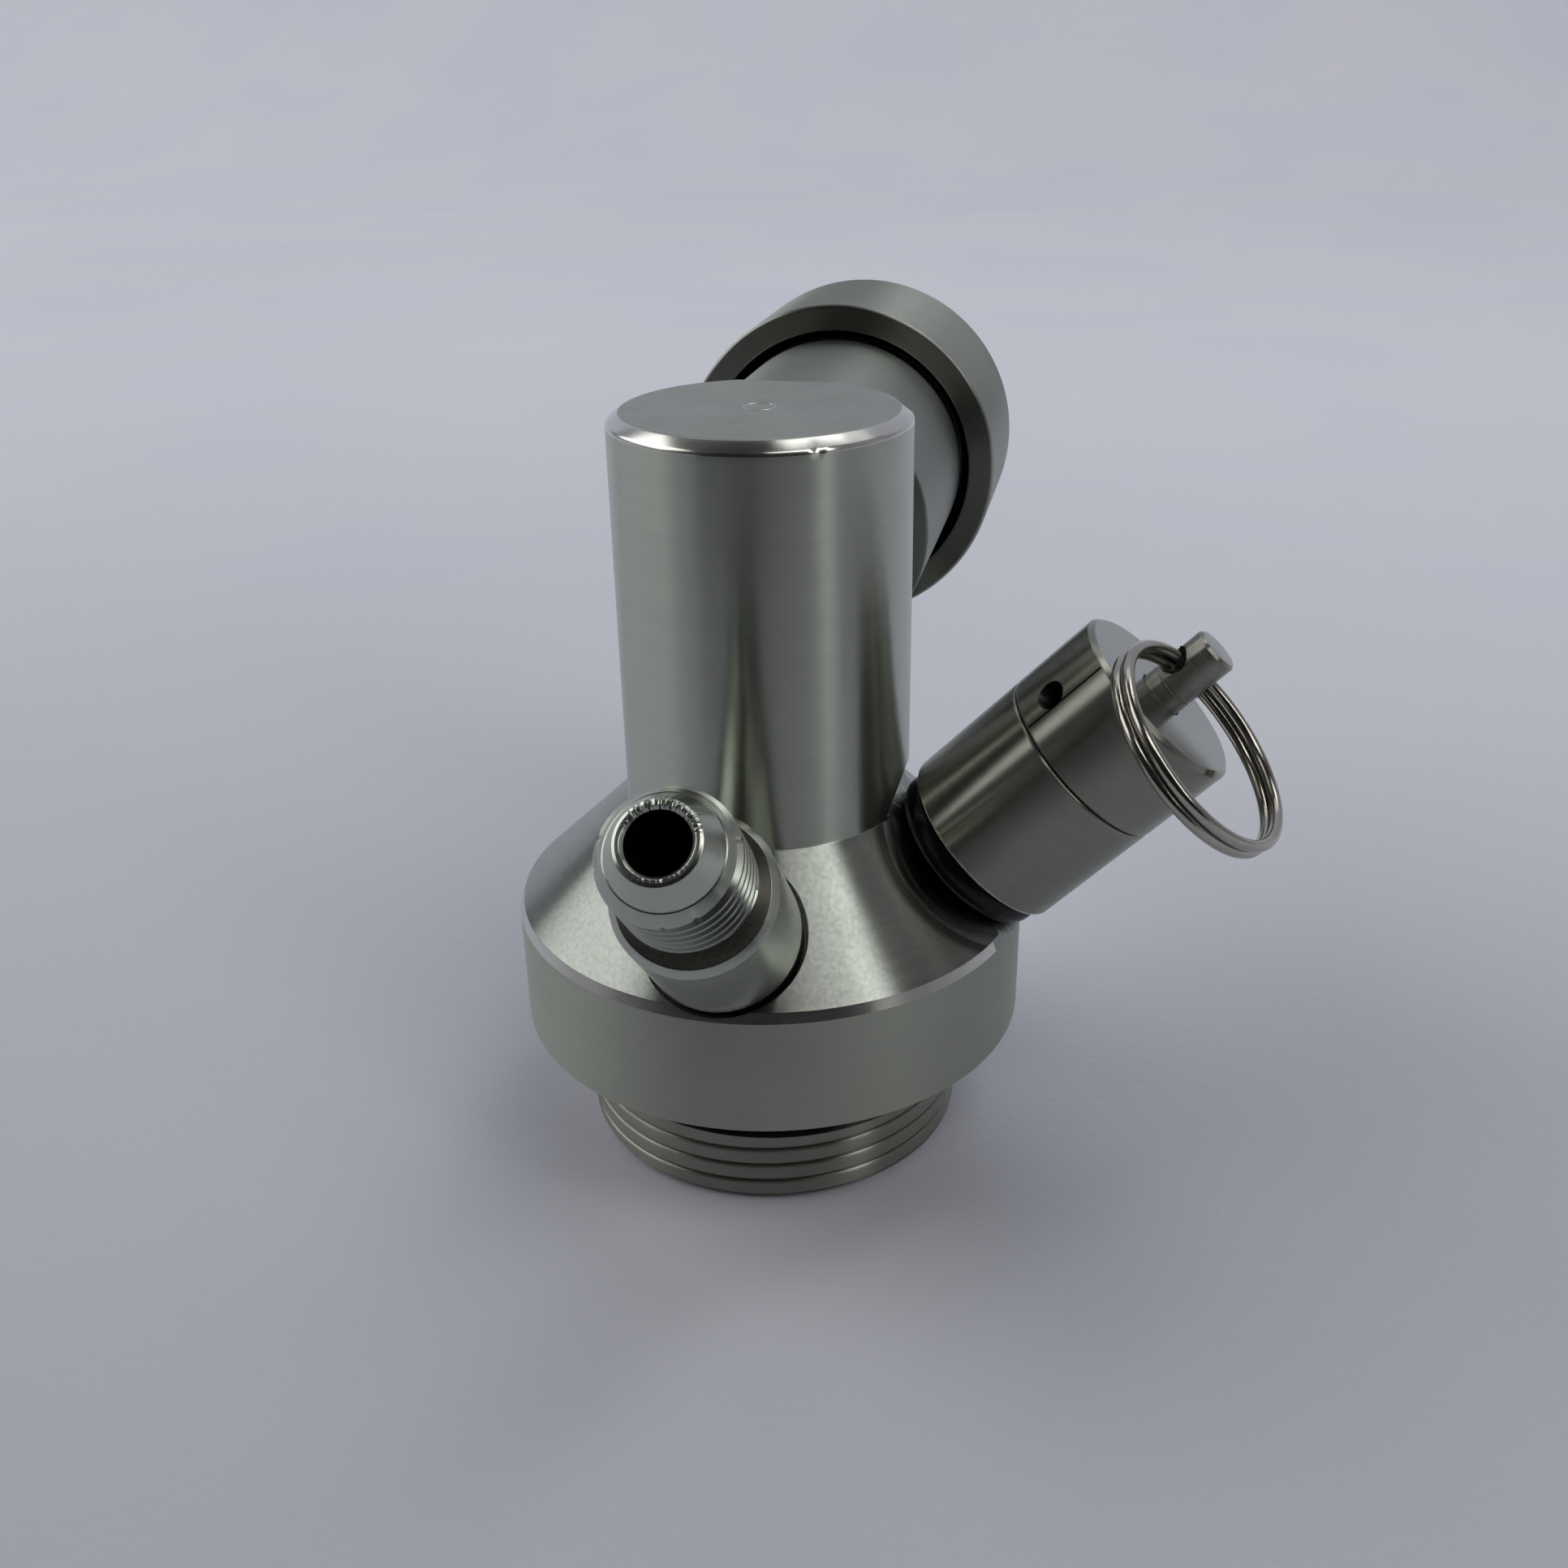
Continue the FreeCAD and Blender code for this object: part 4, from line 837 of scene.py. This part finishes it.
def make_burrs():
    """Torn metal round the two mouths of the stem's cross hole."""
    form = bmesh.new()
    for side in (-1, 1):
        for k in range(BURRS):
            pick = noise.cell_vector(Vector((k * 3.7, side * 5.3, 1.5)))
            a = TURN * (k + 0.8 * pick.x) / BURRS
            tip = (0.12 * pick.z, 1.34 - 0.25 * pick.z, 0.03 + 0.2 * abs(pick.y) ** 2)
            corners = []
            for turn, radius, out in BURR_FEET + (tip,):
                across, along = radius * math.cos(a + turn), radius * math.sin(a + turn)
                surface = math.sqrt(max(0.5, STEM_RADIUS ** 2 - across ** 2))
                corner = HINGE @ Vector((side * (surface + out), across, along))
                corners.append(form.verts.new(corner * MM))
            for trio in ((0, 1, 3), (1, 2, 3), (2, 0, 3), (0, 2, 1)):
                form.faces.new([corners[i] for i in trio])
    bmesh.ops.recalc_face_normals(form, faces=form.faces)
    mesh = bpy.data.meshes.new("stem_burrs")
    form.to_mesh(mesh)
    form.free()
    # The burrs are near-black painted shade
    finish_piece(add_object("stem_burrs", mesh), "relief_valve", [], painted_shade_steel)


make_relief_valve()
make_stem()
make_burrs()


# ---------------------------------------------------------------- pull ring

RING_RADIUS = 9.275         # of the wire's middle
WIRE_RADIUS = 0.525
RING_LEAN = 9.5             # degrees from square to the stem, towards the cap
RING_POINTS = 520
STEP_ANGLE = 270            # degrees; where the first turn steps over to the second
STEP_HALF = math.radians(13)            # half of the angle that the step takes


def make_ring():
    """Two turns of wire side by side, the first one stepping over to the second."""
    leaned = (HINGE @ Matrix.Rotation(math.radians(-RING_LEAN), 4, "X")
              @ Matrix.Translation((0, RING_RADIUS, 0)))
    path = []
    for i in range(RING_POINTS + 1):
        travel = STEP_HALF * 0.9 + (2 * TURN - 1.8 * STEP_HALF) * i / RING_POINTS
        jog = min(1, max(0, (travel - (TURN - STEP_HALF)) / (2 * STEP_HALF)))
        across = -WIRE_RADIUS + 2 * WIRE_RADIUS * jog * jog * (3 - 2 * jog)
        a = math.radians(STEP_ANGLE) + travel
        radius = RING_RADIUS + 0.03 * math.sin(3 * a) * noise.noise(Vector((travel, 0.3, 0)))
        path.append(leaned @ Vector((radius * math.cos(a), radius * math.sin(a), across)))
    ring = tube("split_ring", path, WIRE_RADIUS * 0.985)
    finish_piece(ring, "ring", ["pull_ring"], ring_steel)


make_ring()


# ---------------------------------------------------------------- regulator

BARREL_RADIUS, BARREL_FOOT, BARREL_END = 13.0, 10.72, 45.5
SPIGOT_RADIUS, SPIGOT_END = 5.5, 3.2
PISTON_BORE = 9.5
KNOB_RADIUS, KNOB_FOOT, KNOB_END = 16.6, 34.0, 54.0
KNOB_MOUTH, KNOB_FLOOR = 14.0, 49.85


def make_barrel():
    barrel = lathe("barrel_shell", [
        (0, SPIGOT_END), (SPIGOT_RADIUS, SPIGOT_END, 0.2), (SPIGOT_RADIUS, BARREL_FOOT, 0.02),
        (BARREL_RADIUS, BARREL_FOOT, 0.3), (BARREL_RADIUS, 35.5, 0.1), (12.2, 35.5, 0.1),
        (12.2, 37.0, 0.1), (BARREL_RADIUS, 37.0, 0.1), (BARREL_RADIUS, BARREL_END, 0.6),
        (PISTON_BORE, BARREL_END, 0.2), (PISTON_BORE, 27.4, 0.1), (6.0, 27.4, 0.05), (6.0, 22.6, 0),
        (3.7, 22.6, 0), (3.7, 14.0, 0), (0, 14.0)], BARREL, 0.1, FINE)
    carve(barrel, [stepped_bore([                                   # cartridge port
        (0, 4.0), (2.92, 4.0), (2.92, 6.4), (4.765, 6.4), (4.765, 11.25), (5.1, 11.6), (6.2, 11.6),
        (6.2, 14), (0, 14)], PORT)])
    smooth(barrel)
    finish_piece(barrel, "housing", ["regulator_barrel"], barrel_steel)


def knob_material(radius, height, facing, centre):
    # The front ring takes the darker copy: painted shade
    if facing < -0.9 and height < KNOB_FOOT + 0.05:
        return mouth_shade_steel
    # The knob's inside is painted shade
    if radius < KNOB_MOUTH + 0.1 and KNOB_FOOT + 0.2 < height < KNOB_FLOOR - 0.05:
        return painted_shade_steel
    return None


def make_knob():
    knob = lathe("knob_shell", [
        (KNOB_MOUTH, KNOB_FOOT, 0.25), (KNOB_RADIUS, KNOB_FOOT, 0.4), (KNOB_RADIUS, KNOB_END, 2.2),
        (10.3, KNOB_END, 0.3), (10.0, 53.2, 0.2), (0, 53.2, 0), (0, KNOB_FLOOR, 0),
        (13.06, KNOB_FLOOR, 0.1), (13.06, 38.5, 0.1), (KNOB_MOUTH, 38.5, 0)],
        BARREL, 0.15, FINE, closed=True)
    smooth(knob)
    finish_piece(knob, "knob", ["regulator_knob"], knob_steel)
    paint(knob, BARREL, [mouth_shade_steel, painted_shade_steel], knob_material)


make_barrel()
make_knob()


# ---------------------------------------------------------------- pieces kept from the CAD part

KEPT = {
    "gas_check_valve": clear_rubber, "relief_seal": black_rubber, "relief_spring": spring_wire,
    "piercing_pin": inner_steel, "cartridge_seal": black_rubber, "seat_insert": brass_metal,
    "insert_seal_ring": black_rubber, "inlet_valve": inner_steel, "inlet_valve_spring": spring_wire,
    "piston": inner_steel, "piston_seal_ring": black_rubber, "range_spring": spring_wire,
    "spring_button": inner_steel,
}
for node, kept_material in KEPT.items():
    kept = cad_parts[node]
    kept.data.materials.clear()
    kept.data.materials.append(kept_material)


# ---------------------------------------------------------------- floor and lights, in metres

FLOOR_SIDE, FLOOR_FRONT, FLOOR_BACK = 2.4, -1.6, 0.9
COVE, COVE_STEPS = 0.6, 12              # radius of the bend up to the backdrop
BACKDROP_TOP = 2.2
CLOTH_COOL, CLOTH_WARM = (0.790, 0.815, 0.925, 1), (0.825, 0.830, 0.920, 1)
# Painted shade on the cloth, darker towards the camera
CLOTH_PAINTED_SHADE = (0.630, 0.645, 0.725, 1)   # towards the camera


def cloth():
    """A pale woven cloth with a weak change of tint, darkened towards the camera by painted shade, which
    soft painted fold shading breaks up.
    """
    s = shader("cloth")
    at = s.node("TexCoord").outputs["Object"]
    weave = s.noise(at, 900.0, 3.0, 0.6)
    threads = s.noise(s.vector("MULTIPLY", at, (1.0, 3.0, 1.0)), 500.0, 2.0)
    # Painted shade of soft fold shapes, which the flat floor does not have
    fold_shade = s.ramp(s.noise(at, 2.5, 2.0), 0.3, 0.7, -0.15, 0.15)
    tint = s.mix(s.ramp(s.noise(at, 9.0, 2.0), 0.35, 0.65), CLOTH_COOL, CLOTH_WARM)
    # Painted shade that darkens the cloth towards the camera
    distance = s.ramp(s.vector("DOT_PRODUCT", at, (-0.22, 0.97, 0.0)), -0.12, 0.35)
    away = s.math("ADD", distance, fold_shade, clamp=True)
    height = s.math("ADD", weave, s.math("MULTIPLY", threads, 0.6))
    s.set(Base_Color=s.mix(away, s.mix(0.85, tint, CLOTH_PAINTED_SHADE), tint), Roughness=0.9,
          Specular_IOR_Level=0.2, Sheen_Weight=0.1, Normal=s.bump(height, 0.25, 0.0003))
    return s.owner


def make_floor():
    profile = [(FLOOR_FRONT, 0.0), (FLOOR_BACK, 0.0)]
    for i in range(1, COVE_STEPS + 1):
        a = math.radians(90 * i / COVE_STEPS)
        profile.append((FLOOR_BACK + COVE * math.sin(a), COVE - COVE * math.cos(a)))
    profile.append((FLOOR_BACK + COVE, BACKDROP_TOP))
    points, faces = [], []
    for y, z in profile:
        points += [(-FLOOR_SIDE, y, z), (FLOOR_SIDE, y, z)]
    for i in range(len(profile) - 1):
        faces.append((2 * i, 2 * i + 1, 2 * i + 3, 2 * i + 2))
    mesh = bpy.data.meshes.new("floor")
    mesh.from_pydata(points, [], faces)
    mesh.shade_smooth()
    mesh.materials.append(cloth())
    floor = add_object("floor", mesh)


def make_world():
    """Light from behind the object, with little from overhead or from the camera's side.

    The camera itself sees a plain pale grey.
    """
    world = bpy.data.worlds.new("room")
    bpy.context.scene.world = world
    s = Shader(world, "Background")
    way = s.node("SeparateXYZ", {0: s.node("TexCoord").outputs["Generated"]})
    overhead = s.ramp(way.outputs["Z"], 0.6, 1.0)
    behind = s.ramp(way.outputs["Y"], -0.9, 0.3, 0.04, 1.0)
    room = s.mix(overhead, behind, 0.1, "FLOAT")
    seen = s.node("LightPath").outputs["Is Camera Ray"]
    s.set(Color=(0.26, 0.265, 0.27, 1), Strength=s.mix(seen, room, 1.9, "FLOAT"))


def soft_box(name, azimuth, elevation, distance, width, height, power, colour):
    """An area light that looks at the object."""
    out = direction(azimuth, elevation)
    data = bpy.data.lights.new(name, "AREA")
    data.shape = "RECTANGLE"
    data.size, data.size_y = width, height
    data.energy = power
    data.color = colour
    lamp = bpy.data.objects.new(name, data)
    lamp.location = Vector((0, 0, 0.04)) + out * distance
    lamp.rotation_mode = "QUATERNION"
    lamp.rotation_quaternion = out.to_track_quat("Z", "Y")
    bpy.context.scene.collection.objects.link(lamp)


def make_flag():
    """A dark card behind the camera, as the photographer is: it darkens what faces the front."""
    s = shader("flag")
    s.set(Base_Color=(0.012, 0.012, 0.011, 1), Roughness=0.9)
    mesh = bpy.data.meshes.new("flag")
    form = bmesh.new()
    bmesh.ops.create_grid(form, x_segments=1, y_segments=1, size=0.5)
    form.to_mesh(mesh)
    form.free()
    mesh.materials.append(s.owner)
    flag = add_object("flag", mesh)
    flag.scale = (0.50, 0.42, 1)
    flag.location = (0.05, -0.25, 0.21)
    flag.rotation_euler = (math.radians(90), 0, math.radians(12))
    flag.visible_camera = False


make_floor()
make_world()
soft_box("left_window", azimuth=-89, elevation=36, distance=2.2, width=2.2, height=1.5,
         power=17.0, colour=(1.0, 1.0, 0.98))
soft_box("right_window", azimuth=53, elevation=44, distance=2.2, width=1.3, height=1.9,
         power=19.0, colour=(1.0, 1.0, 0.97))
soft_box("ceiling", azimuth=175, elevation=50, distance=2.4, width=2.4, height=1.4,
         power=8.5, colour=(1.0, 1.0, 0.99))
soft_box("tube_lamp", azimuth=148, elevation=68, distance=2.4, width=0.45, height=1.0,
         power=3.5, colour=(1.0, 1.0, 0.97))
make_flag()
